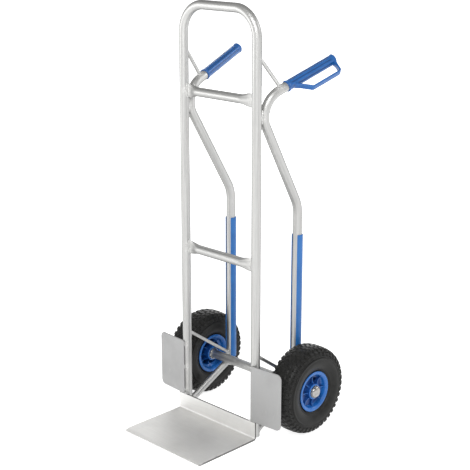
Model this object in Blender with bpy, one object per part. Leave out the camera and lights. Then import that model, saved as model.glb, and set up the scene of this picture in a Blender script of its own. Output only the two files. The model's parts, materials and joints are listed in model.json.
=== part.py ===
"""Aluminium two-wheeled hand truck made of separate named pieces.

Frame: metres, +Z up, floor at Z = 0. X runs across the truck, which is
symmetric about X = 0. The toe plate points to -Y, wheels and grips to +Y.
Paired pieces are described for the +X side and mirrored for the -X side.
Dimensions along Y are taken from the centre line of the uprights; every
piece is then moved so that the origin is at the middle of the footprint.
"""
import math

import bmesh
import bpy
from mathutils import Vector

# Fit and resolution
GAP = 0.0003
TUBE_SIDES = 16
STRUT_SIDES = 14
ROD_SIDES = 12
WHEEL_STEPS = 36
RIM_STEPS = 28
AIR_TUBE_STEPS = 20
HUB_STEPS = 20
SMOOTH_ANGLE = math.radians(40)

# Welded tube frame
TUBE_R = 0.01325
TUBE_WALL = 0.0020
UPRIGHT_X = 0.1414
FRAME_FOOT_Z = 0.0040
TOP_BAR_Z = 1.2186
TOP_BEND_R = 0.078
TOP_BEND_STEPS = 6
CROSSBAR_HEIGHTS = {"upper_crossbar": 0.9780, "lower_crossbar": 0.5180}
CROSSBAR_END_GAP = 0.0005
PINCH_HALF_HEIGHT = 0.0195
PINCH_HALF_DEPTH = 0.0031
PINCH_SLIT_HALF_DEPTH = 0.0009
PINCH_FLAT = 0.008
PINCH_LENGTH = 0.046
PINCH_STEPS = 3

# Toe plate with its upright flange
TOE_HALF_WIDTH = 0.1585
TOE_FRONT_Y = -0.2400
TOE_THICKNESS = 0.0050
TOE_FLANGE_TOP = 0.0543
TOE_BACK_Y = -(TUBE_R + GAP)
TOE_BEND_INNER_R = 0.0050
TOE_BEND_STEPS = 4
TOE_CORNER_R = 0.009
TOE_CORNER_STEPS = 4
TOE_LIP = 0.0022
TOE_BEVEL = 0.0120

# Wheel guard plates
GUARD_INNER_X = 0.1390
GUARD_WIDTH = 0.1090
GUARD_BOTTOM_Z = 0.0547
GUARD_TOP_Z = 0.2245
GUARD_THICKNESS = 0.0040
GUARD_BACK_Y = -0.0138
GUARD_TILT = math.radians(4.0)
GUARD_CORNER_R = 0.0150
GUARD_SMALL_R = 0.0030
GUARD_CORNER_STEPS = 5

# Wheels and axle
AXLE_Y = 0.1394
AXLE_Z = 0.1300
AXLE_ROD_R = 0.0100
AXLE_ROD_END_X = 0.2522
AXLE_TUBE_HALF = 0.1690
AXLE_TUBE_BORE_R = 0.0104
WHEEL_X = 0.2090
TYRE_R = 0.1300
HUB_HALF = 0.0365
HUB_BORE_R = 0.0178
BEARING_R = 0.0175
BEARING_BORE_R = 0.0103
BEARING_WIDTH = 0.0120
WASHER_BORE_R = 0.0103
INNER_WASHER_R = 0.0168
INNER_WASHER_X = (0.1693, 0.1722)
OUTER_WASHER_R = 0.0155
OUTER_WASHER_X = (0.2458, 0.2476)
CAP_BASE_X = 0.2479
RIB_COUNT = 8
RIB_HALF_THICKNESS = 0.0011
WEB_X = (0.0165, 0.0205)
WINDOW_X = (0.0150, 0.0220)
WINDOW_INNER = (0.0070, 0.0250)
WINDOW_OUTER = (0.0125, 0.0392)
VALVE_TURN = math.radians(67.5)
VALVE_X = 0.0100
VALVE_HOLE_R = 0.0046
VALVE_STEM_R = 0.0041
VALVE_CAP_R = 0.0034
VALVE_TIP_R = 0.0270
VALVE_NECK_R = 0.0350
VALVE_ROOT_R = 0.0470
VALVE_SIDES = 12
TUBE_VALVE_HOLE_R = 0.0030

# Middle of the footprint, between the plate's front edge and the tyres
ORIGIN = Vector((0.0, (TOE_FRONT_Y + AXLE_Y + TYRE_R) / 2, 0.0))

# Handle tubes, one continuous bent tube on each side
HANDLE_END = Vector((0.1845, 0.2588, 1.0695))
HANDLE_TOP_CORNER = Vector((0.1475, 0.0268, 0.9827))
HANDLE_WELD_CORNER = Vector((0.1440, 0.0268, 0.9180))
HANDLE_REAR_X = 0.1343
HANDLE_REAR_Y = 0.1790
HANDLE_KNEE = Vector((HANDLE_REAR_X, HANDLE_REAR_Y, 0.6572))
HANDLE_BOTTOM = Vector((HANDLE_REAR_X, HANDLE_REAR_Y, 0.0950))
HANDLE_BEND_R = (0.070, 0.053, 0.095)
HANDLE_BEND_STEPS = (6, 3, 3)

# Foot struts from the bottom of the rear tubes to the feet of the uprights
STRUT_R = 0.0103
STRUT_WALL = 0.0018
STRUT_REAR = Vector((HANDLE_REAR_X, HANDLE_REAR_Y, 0.1157))
STRUT_FRONT = Vector((UPRIGHT_X, 0.0, 0.0160))

# Short gussets that carry the axle tube in front of the rear tubes
GUSSET_HALF_THICKNESS = 0.0030
GUSSET_BOTTOM_Z = 0.1212
GUSSET_HEIGHT = 0.0090
GUSSET_STEPS = 4

# Thin stays
STAY_R = 0.0050
STAY_SEAT_GAP = 0.0009
STAY_CORE = 0.4
HANDLE_STAY_TOP = Vector((UPRIGHT_X, 0.0, 1.1037))
HANDLE_STAY_BOTTOM = Vector((0.1561, 0.0805, 1.0028))
AXLE_STAY_TOP = Vector((UPRIGHT_X, 0.0, 0.2540))
AXLE_STAY_BOTTOM = Vector((HANDLE_REAR_X, HANDLE_REAR_Y, 0.1285))

# Stair glides clipped over the rear tubes
GLIDE_WALL = 0.0028
GLIDE_Z = (0.1220, 0.5730)
GLIDE_OPEN_HALF = math.radians(47)
GLIDE_ARC_STEPS = 16

# Grips with knuckle guards, along the handle axis from the inner flange
GRIP_LENGTH = 0.1790
GRIP_BORE_R = TUBE_R + GAP
GRIP_BODY_R = 0.0147
GRIP_FLANGE_R = 0.0162
GRIP_FLANGE_WIDTH = 0.0040
GRIP_KNOB_R = 0.0160
GRIP_KNOB_WIDTH = 0.0060
GRIP_END_WALL = 0.0030
GRIP_STEPS = 24
STRAP_ANGLE = math.radians(30)
STRAP_OFFSET = 0.0470
STRAP_START = 0.0145
STRAP_CORNERS = (0.0585, 0.1605)
STRAP_FINISH = 0.1735
STRAP_HALF_WIDTH = 0.0065
STRAP_HALF_THICKNESS = 0.0022
STRAP_CORNER_R = 0.0090
STRAP_CORNER_STEPS = 3
STRAP_WIDTH_STEPS = 4
STRAP_SEAT_R = 0.0143

# Surface finishes: base colour, metallic, roughness
FINISHES = {
    "satin_aluminium": ((0.72, 0.73, 0.74), 1.0, 0.34),
    "blue_plastic": ((0.025, 0.115, 0.420), 0.0, 0.42),
    "black_rubber": ((0.022, 0.022, 0.023), 0.0, 0.80),
    "zinc_steel": ((0.62, 0.63, 0.65), 1.0, 0.25),
    "black_plastic": ((0.018, 0.018, 0.020), 0.0, 0.50),
}


def clear_scene():
    for item in list(bpy.data.objects):
        bpy.data.objects.remove(item, do_unlink=True)


def make_materials():
    made = {}
    for name, (colour, metallic, roughness) in FINISHES.items():
        material = bpy.data.materials.new(name)
        material.use_nodes = True
        shader = material.node_tree.nodes["Principled BSDF"]
        shader.inputs["Base Color"].default_value = (*colour, 1.0)
        shader.inputs["Metallic"].default_value = metallic
        shader.inputs["Roughness"].default_value = roughness
        material.diffuse_color = (*colour, 1.0)
        made[name] = material
    return made


def add_piece(name, shape, material, side=1, parent=None):
    """Make one object; side -1 mirrors the shape across X = 0."""
    points, faces = shape
    origin = ORIGIN + parent.location if parent else ORIGIN
    mesh = bpy.data.meshes.new(name)
    placed = [Vector((side * p[0], p[1], p[2])) - origin for p in points]
    mesh.from_pydata(placed, [], faces)
    work = bmesh.new()
    work.from_mesh(mesh)
    bmesh.ops.recalc_face_normals(work, faces=work.faces)
    work.to_mesh(mesh)
    work.free()
    mesh.shade_smooth()
    mesh.set_sharp_from_angle(angle=SMOOTH_ANGLE)
    mesh.materials.append(material)
    piece = bpy.data.objects.new(name, mesh)
    bpy.context.scene.collection.objects.link(piece)
    piece.parent = parent
    return piece


def add_boolean(piece, cutter, operation):
    cutter.hide_render = True
    cutter.display_type = "WIRE"
    modifier = piece.modifiers.new(operation.lower(), "BOOLEAN")
    modifier.operation = operation
    modifier.solver = "EXACT"
    modifier.object = cutter


def rounded_path(corners, radii, steps):
    """Polyline through the corners with a circular arc at each inner one."""
    path = [Vector(corners[0])]
    for index, (radius, count) in enumerate(zip(radii, steps), start=1):
        corner = Vector(corners[index])
        back = (Vector(corners[index - 1]) - corner).normalized()
        ahead = (Vector(corners[index + 1]) - corner).normalized()
        half = back.angle(ahead) / 2
        middle = (back + ahead).normalized()
        centre = corner + middle * (radius / math.sin(half))
        first = corner + back * (radius / math.tan(half)) - centre
        last = corner + ahead * (radius / math.tan(half)) - centre
        turn = first.angle(last)
        for step in range(count + 1):
            share = step / count
            weight_a = math.sin((1 - share) * turn) / math.sin(turn)
            weight_b = math.sin(share * turn) / math.sin(turn)
            path.append(centre + first * weight_a + last * weight_b)
    path.append(Vector(corners[-1]))
    return path


def path_frames(path, reference):
    """Tangent, side and reference direction at each point of the path."""
    frames = []
    for index, point in enumerate(path):
        before = path[max(index - 1, 0)]
        after = path[min(index + 1, len(path) - 1)]
        tangent = (point - before).normalized() + (after - point).normalized()
        tangent.normalize()
        reference = (reference - tangent * reference.dot(tangent)).normalized()
        frames.append((point, tangent, tangent.cross(reference), reference))
    return frames


def sweep_rings(path, section, reference):
    """Place the (side, reference) section points at each path point."""
    rings = []
    for point, _, across, up in path_frames(path, Vector(reference)):
        rings.append([point + across * a + up * b for a, b in section])
    return rings


def circle(radius, sides):
    turns = [2 * math.pi * step / sides for step in range(sides)]
    return [(radius * math.cos(turn), radius * math.sin(turn)) for turn in turns]


def cope(ring, direction, axis_point, axis_direction, radius):
    """Slide ring points along direction onto the near side of a cylinder."""
    axis = Vector(axis_direction).normalized()
    heading = direction.normalized()
    flat = heading - axis * heading.dot(axis)
    placed = []
    for point in ring:
        offset = point - Vector(axis_point)
        offset = offset - axis * offset.dot(axis)
        a = flat.dot(flat)
        b = offset.dot(flat)
        c = offset.dot(offset) - radius * radius
        root = (-b - math.sqrt(b * b - a * c)) / a
        placed.append(point + heading * root)
    return placed


def skin(rings, closed_loop=False):
    """Quads between neighbouring rings; returns points and faces."""
    sides = len(rings[0])
    points = [point for ring in rings for point in ring]
    faces = []
    spans = len(rings) if closed_loop else len(rings) - 1
    for row in range(spans):
        near = row * sides
        far = ((row + 1) % len(rings)) * sides
        for step in range(sides):
            following = (step + 1) % sides
            faces.append((near + step, near + following, far + following, far + step))
    return points, faces


def solid_bar(rings):
    points, faces = skin(rings)
    sides = len(rings[0])
    faces.append(tuple(range(sides)))
    faces.append(tuple(range(len(points) - sides, len(points))))
    return points, faces


def solid_band(rings):
    """Solid whose ends are strips, so that they can follow a curved seat."""
    points, faces = skin(rings)
    sides = len(rings[0])
    for base in (0, len(points) - sides):
        for step in range(sides // 2 - 1):
            near = base + step
            far = base + sides - 1 - step
            faces.append((near, near + 1, far - 1, far))
    return points, faces


def hollow_bar(outer, inner):
    return skin(outer + inner[::-1], closed_loop=True)


def lathe(profile, steps, centre):
    """Turn (x, r) points about the X line through centre.

    A profile that starts and ends on the axis becomes a capped solid; any
    other profile is taken as a closed loop and becomes a ring.
    """
    capped = profile[0][1] == 0
    body = profile[1:-1] if capped else profile
    rings = []
    for x, radius in body:
        rings.append([centre + Vector((x, b, a)) for a, b in circle(radius, steps)])
    if not capped:
        return skin(rings, closed_loop=True)
    points, faces = skin(rings)
    for end, row in ((0, 0), (-1, len(rings) - 1)):
        tip = len(points)
        points.append(centre + Vector((profile[end][0], 0, 0)))
        for step in range(steps):
            faces.append((row * steps + step, row * steps + (step + 1) % steps, tip))
    return points, faces


def handle_path():
    corners = (HANDLE_END, HANDLE_TOP_CORNER, HANDLE_WELD_CORNER, HANDLE_KNEE, HANDLE_BOTTOM)
    return rounded_path(corners, HANDLE_BEND_R, HANDLE_BEND_STEPS)


def main_frame_shape():
    corners = (
        (-UPRIGHT_X, 0, FRAME_FOOT_Z),
        (-UPRIGHT_X, 0, TOP_BAR_Z),
        (UPRIGHT_X, 0, TOP_BAR_Z),
        (UPRIGHT_X, 0, FRAME_FOOT_Z),
    )
    path = rounded_path(corners, (TOP_BEND_R,) * 2, (TOP_BEND_STEPS,) * 2)
    outer = sweep_rings(path, circle(TUBE_R, TUBE_SIDES), (0, 1, 0))
    inner = sweep_rings(path, circle(TUBE_R - TUBE_WALL, TUBE_SIDES), (0, 1, 0))
    return hollow_bar(outer, inner)


def crossbar_shape(height):
    """Round tube whose two ends are pinched flat and flare in height."""
    reach = UPRIGHT_X - TUBE_R - CROSSBAR_END_GAP
    stations = [(reach, 1.0), (reach - PINCH_FLAT, 1.0)]
    for step in range(1, PINCH_STEPS + 1):
        share = step / PINCH_STEPS
        pinch = (1 + math.cos(math.pi * share)) / 2
        stations.append((reach - PINCH_FLAT - share * (PINCH_LENGTH - PINCH_FLAT), pinch))
    stations = stations + [(-x, pinch) for x, pinch in reversed(stations)]
    bore = TUBE_R - TUBE_WALL
    shells = []
    for radius, tall, deep in (
        (TUBE_R, PINCH_HALF_HEIGHT, PINCH_HALF_DEPTH),
        (bore, PINCH_HALF_HEIGHT - TUBE_WALL, PINCH_SLIT_HALF_DEPTH),
    ):
        rings = []
        for x, pinch in stations:
            up = radius + (tall - radius) * pinch
            out = radius + (deep - radius) * pinch
            section = circle(1.0, TUBE_SIDES)
            rings.append([Vector((x, a * out, height + b * up)) for a, b in section])
        shells.append(rings)
    return hollow_bar(*shells)


def toe_plate_shape():
    """Plate and flange folded from one sheet, with a thinned front edge."""
    outer_r = TOE_BEND_INNER_R + TOE_THICKNESS
    bend_y = TOE_BACK_Y - outer_r
    front_face_y = TOE_BACK_Y - TOE_THICKNESS
    profile = [(TOE_FRONT_Y, 0.0), (bend_y, 0.0)]
    for step in range(1, TOE_BEND_STEPS + 1):
        turn = math.pi / 2 * step / TOE_BEND_STEPS
        profile.append((bend_y + outer_r * math.sin(turn), outer_r * (1 - math.cos(turn))))
    profile.append((TOE_BACK_Y, TOE_FLANGE_TOP))
    profile.append((front_face_y, TOE_FLANGE_TOP))
    for step in range(TOE_BEND_STEPS, -1, -1):
        turn = math.pi / 2 * step / TOE_BEND_STEPS
        y = bend_y + TOE_BEND_INNER_R * math.sin(turn)
        profile.append((y, outer_r - TOE_BEND_INNER_R * math.cos(turn)))
    profile.append((TOE_FRONT_Y + TOE_BEVEL, TOE_THICKNESS))
    profile.append((TOE_FRONT_Y, TOE_LIP))

    columns = []
    for step in range(TOE_CORNER_STEPS + 1):
        turn = math.pi / 2 * step / TOE_CORNER_STEPS
        inset = TOE_CORNER_R * (1 - math.sin(turn))
        columns.append((TOE_HALF_WIDTH - TOE_CORNER_R * (1 - math.cos(turn)), inset))
    columns = columns + [(-x, inset) for x, inset in reversed(columns)]
    rings = []
    for x, inset in columns:
        ring = []
        for y, z in profile:
            share = (y - bend_y) / (TOE_FRONT_Y - bend_y)
            ring.append(Vector((x, y + inset * max(share, 0.0), z)))
        rings.append(ring)
    return solid_bar(rings)


def rounded_outline(width, bottom, top, radii):
    """Rectangle outline; radii follow outer-bottom, outer-top, then inner."""
    centres = (
        (width - radii[0], bottom + radii[0], -math.pi / 2),
        (width - radii[1], top - radii[1], 0.0),
        (radii[2], top - radii[2], math.pi / 2),
        (radii[3], bottom + radii[3], math.pi),
    )
    outline = []
    for radius, (x, z, start) in zip(radii, centres):
        for step in range(GUARD_CORNER_STEPS + 1):
            turn = start + math.pi / 2 * step / GUARD_CORNER_STEPS
            outline.append((x + radius * math.cos(turn), z + radius * math.sin(turn)))
    return outline


def guard_shape():
    radii = (GUARD_CORNER_R, GUARD_CORNER_R, GUARD_SMALL_R, GUARD_SMALL_R)
    outline = rounded_outline(GUARD_WIDTH, GUARD_BOTTOM_Z, GUARD_TOP_Z, radii)
    rings = []
    for depth in (0.0, -GUARD_THICKNESS):
        ring = []
        for across, z in outline:
            x = GUARD_INNER_X + across * math.cos(GUARD_TILT)
            y = GUARD_BACK_Y + depth + across * math.sin(GUARD_TILT)
            ring.append(Vector((x, y, z)))
        rings.append(ring)
    return solid_bar(rings)


def handle_tube_shape():
    path = handle_path()
    shells = []
    for radius in (TUBE_R, TUBE_R - TUBE_WALL):
        shells.append(sweep_rings(path, circle(radius, TUBE_SIDES), (1, 0, 0)))
    return hollow_bar(*shells)


def foot_strut_shape():
    """Straight tube coped to the rear tube and to the upright."""
    heading = STRUT_FRONT - STRUT_REAR
    shells = []
    for radius in (STRUT_R, STRUT_R - STRUT_WALL):
        rings = sweep_rings([STRUT_REAR, STRUT_FRONT], circle(radius, STRUT_SIDES), (1, 0, 0))
        rear = cope(rings[0], -heading, HANDLE_BOTTOM, (0, 0, 1), TUBE_R + GAP)
        front = cope(rings[1], heading, STRUT_FRONT, (0, 0, 1), TUBE_R + GAP)
        shells.append([rear, front])
    return hollow_bar(*shells)


def gusset_shape():
    """Small upright plate between the axle tube and the rear tube."""
    seat_r = TUBE_R + GAP
    rings = []
    for step in range(GUSSET_STEPS + 1):
        across = GUSSET_HALF_THICKNESS * (2 * step / GUSSET_STEPS - 1)
        rear_y = HANDLE_REAR_Y - math.sqrt(seat_r ** 2 - across ** 2)
        ring = []
        for row in range(GUSSET_STEPS + 1):
            z = GUSSET_BOTTOM_Z + GUSSET_HEIGHT * row / GUSSET_STEPS
            front_y = AXLE_Y + math.sqrt(seat_r ** 2 - (z - AXLE_Z) ** 2)
            ring.append(Vector((HANDLE_REAR_X + across, front_y, z)))
        for z in (GUSSET_BOTTOM_Z + GUSSET_HEIGHT, GUSSET_BOTTOM_Z):
            ring.append(Vector((HANDLE_REAR_X + across, rear_y, z)))
        rings.append(ring)
    return solid_bar(rings)


def stay_shape(top, bottom, lower_axis):
    """Round rod coped against the upright above and a tube below."""
    heading = bottom - top
    upper_seat = (-heading, top, (0, 0, 1), TUBE_R + GAP)
    lower_seat = (heading, bottom, lower_axis, TUBE_R + STAY_SEAT_GAP)
    whole = sweep_rings([top, bottom], circle(STAY_R, ROD_SIDES), (1, 0, 0))
    core = sweep_rings([top, bottom], circle(STAY_CORE * STAY_R, ROD_SIDES), (1, 0, 0))
    rings = [cope(core[0], *upper_seat), cope(whole[0], *upper_seat)]
    rings += [cope(whole[1], *lower_seat), cope(core[1], *lower_seat)]
    return solid_bar(rings)


def glide_shape():
    """C-shaped channel clipped over the back of the straight rear tube."""
    spine = [Vector((HANDLE_REAR_X, HANDLE_REAR_Y, z)) for z in GLIDE_Z]
    section = []
    for radius, order in ((TUBE_R + GAP + GLIDE_WALL, 1), (TUBE_R + GAP, -1)):
        arc = []
        for step in range(GLIDE_ARC_STEPS + 1):
            share = step / GLIDE_ARC_STEPS
            turn = GLIDE_OPEN_HALF + share * 2 * (math.pi - GLIDE_OPEN_HALF)
            arc.append((radius * math.sin(turn), radius * math.cos(turn)))
        section.extend(arc[::order])
    return solid_bar(sweep_rings(spine, section, (0, -1, 0)))


def handle_axes():
    """Grip origin, axis direction, strap direction and strap normal."""
    axis = (HANDLE_END - HANDLE_TOP_CORNER).normalized()
    outward = (Vector((1, 0, 0)) - axis * axis.x).normalized()
    upward = outward.cross(axis)
    strap = outward * math.cos(STRAP_ANGLE) - upward * math.sin(STRAP_ANGLE)
    start = HANDLE_END + axis * (GRIP_END_WALL + GAP) - axis * GRIP_LENGTH
    return start, axis, strap, axis.cross(strap)


def grip_sleeve_shape():
    """Sleeve closed at its outer end, with a flange at each end."""
    start, axis, strap, normal = handle_axes()
    inner_end = GRIP_LENGTH - GRIP_END_WALL
    profile = (
        (GRIP_LENGTH, 0.0),
        (GRIP_LENGTH, 0.0110),
        (GRIP_LENGTH - 0.0015, 0.0150),
        (GRIP_LENGTH - 0.0035, GRIP_KNOB_R),
        (GRIP_LENGTH - GRIP_KNOB_WIDTH, GRIP_KNOB_R),
        (GRIP_LENGTH - GRIP_KNOB_WIDTH - 0.0020, GRIP_BODY_R),
        (GRIP_FLANGE_WIDTH, GRIP_BODY_R),
        (GRIP_FLANGE_WIDTH - 0.0015, GRIP_FLANGE_R),
        (0.0, GRIP_FLANGE_R),
        (0.0, GRIP_BORE_R),
        (inner_end, GRIP_BORE_R),
        (inner_end, 0.0),
    )
    points, faces = lathe(profile, GRIP_STEPS, Vector((0, 0, 0)))
    placed = [start + axis * p.x + strap * p.y + normal * p.z for p in points]
    return placed, faces


def strap_shape():
    """Flat band looping out from one end of the grip to the other."""
    start, axis, strap, normal = handle_axes()
    corners = (
        start + axis * STRAP_START,
        start + axis * STRAP_CORNERS[0] + strap * STRAP_OFFSET,
        start + axis * STRAP_CORNERS[1] + strap * STRAP_OFFSET,
        start + axis * STRAP_FINISH,
    )
    path = rounded_path(corners, (STRAP_CORNER_R,) * 2, (STRAP_CORNER_STEPS,) * 2)
    section = []
    for order in (1, -1):
        for step in range(STRAP_WIDTH_STEPS + 1):
            across = STRAP_HALF_WIDTH * (2 * step / STRAP_WIDTH_STEPS - 1)
            section.append((order * STRAP_HALF_THICKNESS, order * across))
    rings = sweep_rings(path, section, normal)
    rings[0] = cope(rings[0], path[0] - path[1], start, axis, STRAP_SEAT_R)
    rings[-1] = cope(rings[-1], path[-1] - path[-2], start, axis, STRAP_SEAT_R)
    return solid_band(rings)


def mirrored_profile(half):
    """Close a half profile given for +x by adding its mirror image."""
    return list(half) + [(-x, radius) for x, radius in reversed(half)]


def tyre_profile():
    half = (
        (0.0000, TYRE_R),
        (0.0200, 0.1290),
        (0.0335, 0.1255),
        (0.0415, 0.1175),
        (0.0455, 0.1050),
        (0.0460, 0.0900),
        (0.0430, 0.0755),
        (0.0375, 0.0660),
        (0.0318, 0.0600),
        (0.0312, 0.0512),
        (0.0212, 0.0512),
        (0.0250, 0.0600),
        (0.0345, 0.0735),
        (0.0395, 0.0900),
        (0.0380, 0.1060),
        (0.0300, 0.1180),
        (0.0000, 0.1230),
    )
    return list(half) + [(-x, radius) for x, radius in reversed(half[1:-1])]


def inner_tube_profiles():
    outer = (
        (0.0195, 0.0515),
        (0.0240, 0.0615),
        (0.0345, 0.0820),
        (0.0360, 0.1020),
        (0.0250, 0.1150),
    )
    inner = (
        (0.0178, 0.0535),
        (0.0222, 0.0625),
        (0.0325, 0.0826),
        (0.0340, 0.1013),
        (0.0241, 0.1130),
    )
    return mirrored_profile(outer), mirrored_profile(inner)


def rim_profile():
    """Well, bead seats and flanges on both sides, with the web near the outer face."""
    web_near, web_far = WEB_X
    outside = [
        (0.0180, 0.0455),
        (0.0208, 0.0496),
        (0.0312, 0.0507),
        (0.0322, 0.0585),
        (0.0350, 0.0606),
        (0.0368, 0.0592),
        (0.0364, 0.0555),
        (0.0334, 0.0488),
        (0.0225, 0.0474),
    ]
    middle = [
        (web_far, 0.0450),
        (web_far, 0.0237),
        (HUB_HALF, 0.0228),
        (HUB_HALF, HUB_BORE_R),
        (-HUB_HALF, HUB_BORE_R),
        (-HUB_HALF, 0.0228),
        (web_near, 0.0237),
        (web_near, 0.0415),
        (-0.0180, 0.0415),
    ]
    return outside + middle + [(-x, radius) for x, radius in reversed(outside)]


def ribs_shape(centre):
    """Thin radial ribs on both faces of the rim web, cut low between hub and rim."""
    outer_face = (
        (0.0180, 0.0215),
        (0.0330, 0.0215),
        (0.0300, 0.0250),
        (0.0275, 0.0300),
        (0.0265, 0.0350),
        (0.0270, 0.0400),
        (0.0288, 0.0445),
        (0.0300, 0.0490),
        (0.0225, 0.0486),
        (0.0200, 0.0470),
        (0.0180, 0.0435),
    )
    inner_face = (
        (0.0185, 0.0215),
        (-0.0300, 0.0215),
        (-0.0240, 0.0250),
        (-0.0165, 0.0300),
        (-0.0140, 0.0350),
        (-0.0165, 0.0400),
        (-0.0225, 0.0440),
        (-0.0265, 0.0488),
        (-0.0225, 0.0484),
        (-0.0185, 0.0435),
        (0.0185, 0.0435),
    )
    points = []
    faces = []
    for index in range(RIB_COUNT):
        turn = 2 * math.pi * index / RIB_COUNT
        radial = Vector((0, math.cos(turn), math.sin(turn)))
        across = Vector((0, -math.sin(turn), math.cos(turn)))
        for outline in (outer_face, inner_face):
            rings = []
            for shift in (-RIB_HALF_THICKNESS, RIB_HALF_THICKNESS):
                ring = []
                for x, radius in outline:
                    ring.append(centre + Vector((x, 0, 0)) + radial * radius + across * shift)
                rings.append(ring)
            rib_points, rib_faces = solid_bar(rings)
            base = len(points)
            points.extend(rib_points)
            faces.extend(tuple(base + corner for corner in face) for face in rib_faces)
    return points, faces


def valve_directions():
    """Direction out from the wheel axis to the valve, and the one square to it."""
    radial = Vector((0, math.cos(VALVE_TURN), math.sin(VALVE_TURN)))
    across = Vector((0, math.sin(VALVE_TURN), -math.cos(VALVE_TURN)))
    return radial, across


def valve_window_shape(centre):
    """Tapered opening through the web, between the two ribs at the valve."""
    radial, across = valve_directions()
    inner_half, inner_r = WINDOW_INNER
    outer_half, outer_r = WINDOW_OUTER
    corners = ((-inner_half, inner_r), (inner_half, inner_r), (outer_half, outer_r), (-outer_half, outer_r))
    rings = []
    for x in WINDOW_X:
        base = centre + Vector((x, 0, 0))
        rings.append([base + across * shift + radial * radius for shift, radius in corners])
    return solid_bar(rings)


def radial_pin(centre, sections):
    """Stepped pin standing out radially from the wheel axis at the valve."""
    radial, across = valve_directions()
    rings = []
    for height, radius in sections:
        base = centre + Vector((VALVE_X, 0, 0)) + radial * height
        rings.append([base + Vector((a, 0, 0)) + across * b for a, b in circle(radius, VALVE_SIDES)])
    return solid_bar(rings)


def ring_profile(near, far, bore, radius):
    return ((near, bore), (far, bore), (far, radius), (near, radius))


def cap_profile():
    """Domed push-on cap, open on the wheel side for the axle end."""
    return (
        (CAP_BASE_X + 0.0092, 0.0),
        (CAP_BASE_X + 0.0090, 0.0040),
        (CAP_BASE_X + 0.0080, 0.0090),
        (CAP_BASE_X + 0.0060, 0.0130),
        (CAP_BASE_X + 0.0032, 0.0158),
        (CAP_BASE_X + 0.0014, 0.0170),
        (CAP_BASE_X + 0.0012, 0.0183),
        (CAP_BASE_X, 0.0183),
        (CAP_BASE_X, 0.0108),
        (CAP_BASE_X + 0.0046, 0.0108),
        (CAP_BASE_X + 0.0079, 0.0040),
        (CAP_BASE_X + 0.0080, 0.0),
    )


def build_frame(materials):
    metal = materials["satin_aluminium"]
    add_piece("main_frame_tube", main_frame_shape(), metal)
    for name, height in CROSSBAR_HEIGHTS.items():
        add_piece(name, crossbar_shape(height), metal)
    add_piece("toe_plate", toe_plate_shape(), metal)

    pieces = {
        "wheel_guard": guard_shape(),
        "handle_tube": handle_tube_shape(),
        "foot_strut": foot_strut_shape(),
        "axle_gusset": gusset_shape(),
        "handle_stay": stay_shape(HANDLE_STAY_TOP, HANDLE_STAY_BOTTOM, HANDLE_END - HANDLE_TOP_CORNER),
        "axle_stay": stay_shape(AXLE_STAY_TOP, AXLE_STAY_BOTTOM, (0, 0, 1)),
    }
    for label, side in (("left", -1), ("right", 1)):
        for name, shape in pieces.items():
            add_piece(f"{label}_{name}", shape, metal, side)
        add_piece(f"{label}_stair_glide", glide_shape(), materials["blue_plastic"], side)


def build_grips(materials):
    blue = materials["blue_plastic"]
    for label, side in (("left", -1), ("right", 1)):
        grip = add_piece(f"{label}_grip", grip_sleeve_shape(), blue, side)
        strap = add_piece(f"{label}_grip_strap_form", strap_shape(), blue, side)
        add_boolean(grip, strap, "UNION")


def build_axle(materials):
    centre = Vector((0, AXLE_Y, AXLE_Z))
    steel = materials["zinc_steel"]
    tube = ring_profile(-AXLE_TUBE_HALF, AXLE_TUBE_HALF, AXLE_TUBE_BORE_R, TUBE_R)
    add_piece("axle_tube", lathe(tube, TUBE_SIDES, centre), materials["satin_aluminium"])
    end = AXLE_ROD_END_X
    chamfer = 0.0015
    rod = (
        (-end, 0.0),
        (-end, AXLE_ROD_R - chamfer),
        (-end + chamfer, AXLE_ROD_R),
        (end - chamfer, AXLE_ROD_R),
        (end, AXLE_ROD_R - chamfer),
        (end, 0.0),
    )
    add_piece("axle_rod", lathe(rod, HUB_STEPS, centre), steel)
    inner = ring_profile(*INNER_WASHER_X, WASHER_BORE_R, INNER_WASHER_R)
    outer = ring_profile(*OUTER_WASHER_X, WASHER_BORE_R, OUTER_WASHER_R)
    for label, side in (("left", -1), ("right", 1)):
        add_piece(f"{label}_inner_washer", lathe(inner, HUB_STEPS, centre), steel, side)
        add_piece(f"{label}_outer_washer", lathe(outer, HUB_STEPS, centre), steel, side)
        add_piece(f"{label}_axle_cap", lathe(cap_profile(), HUB_STEPS, centre), steel, side)


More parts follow.
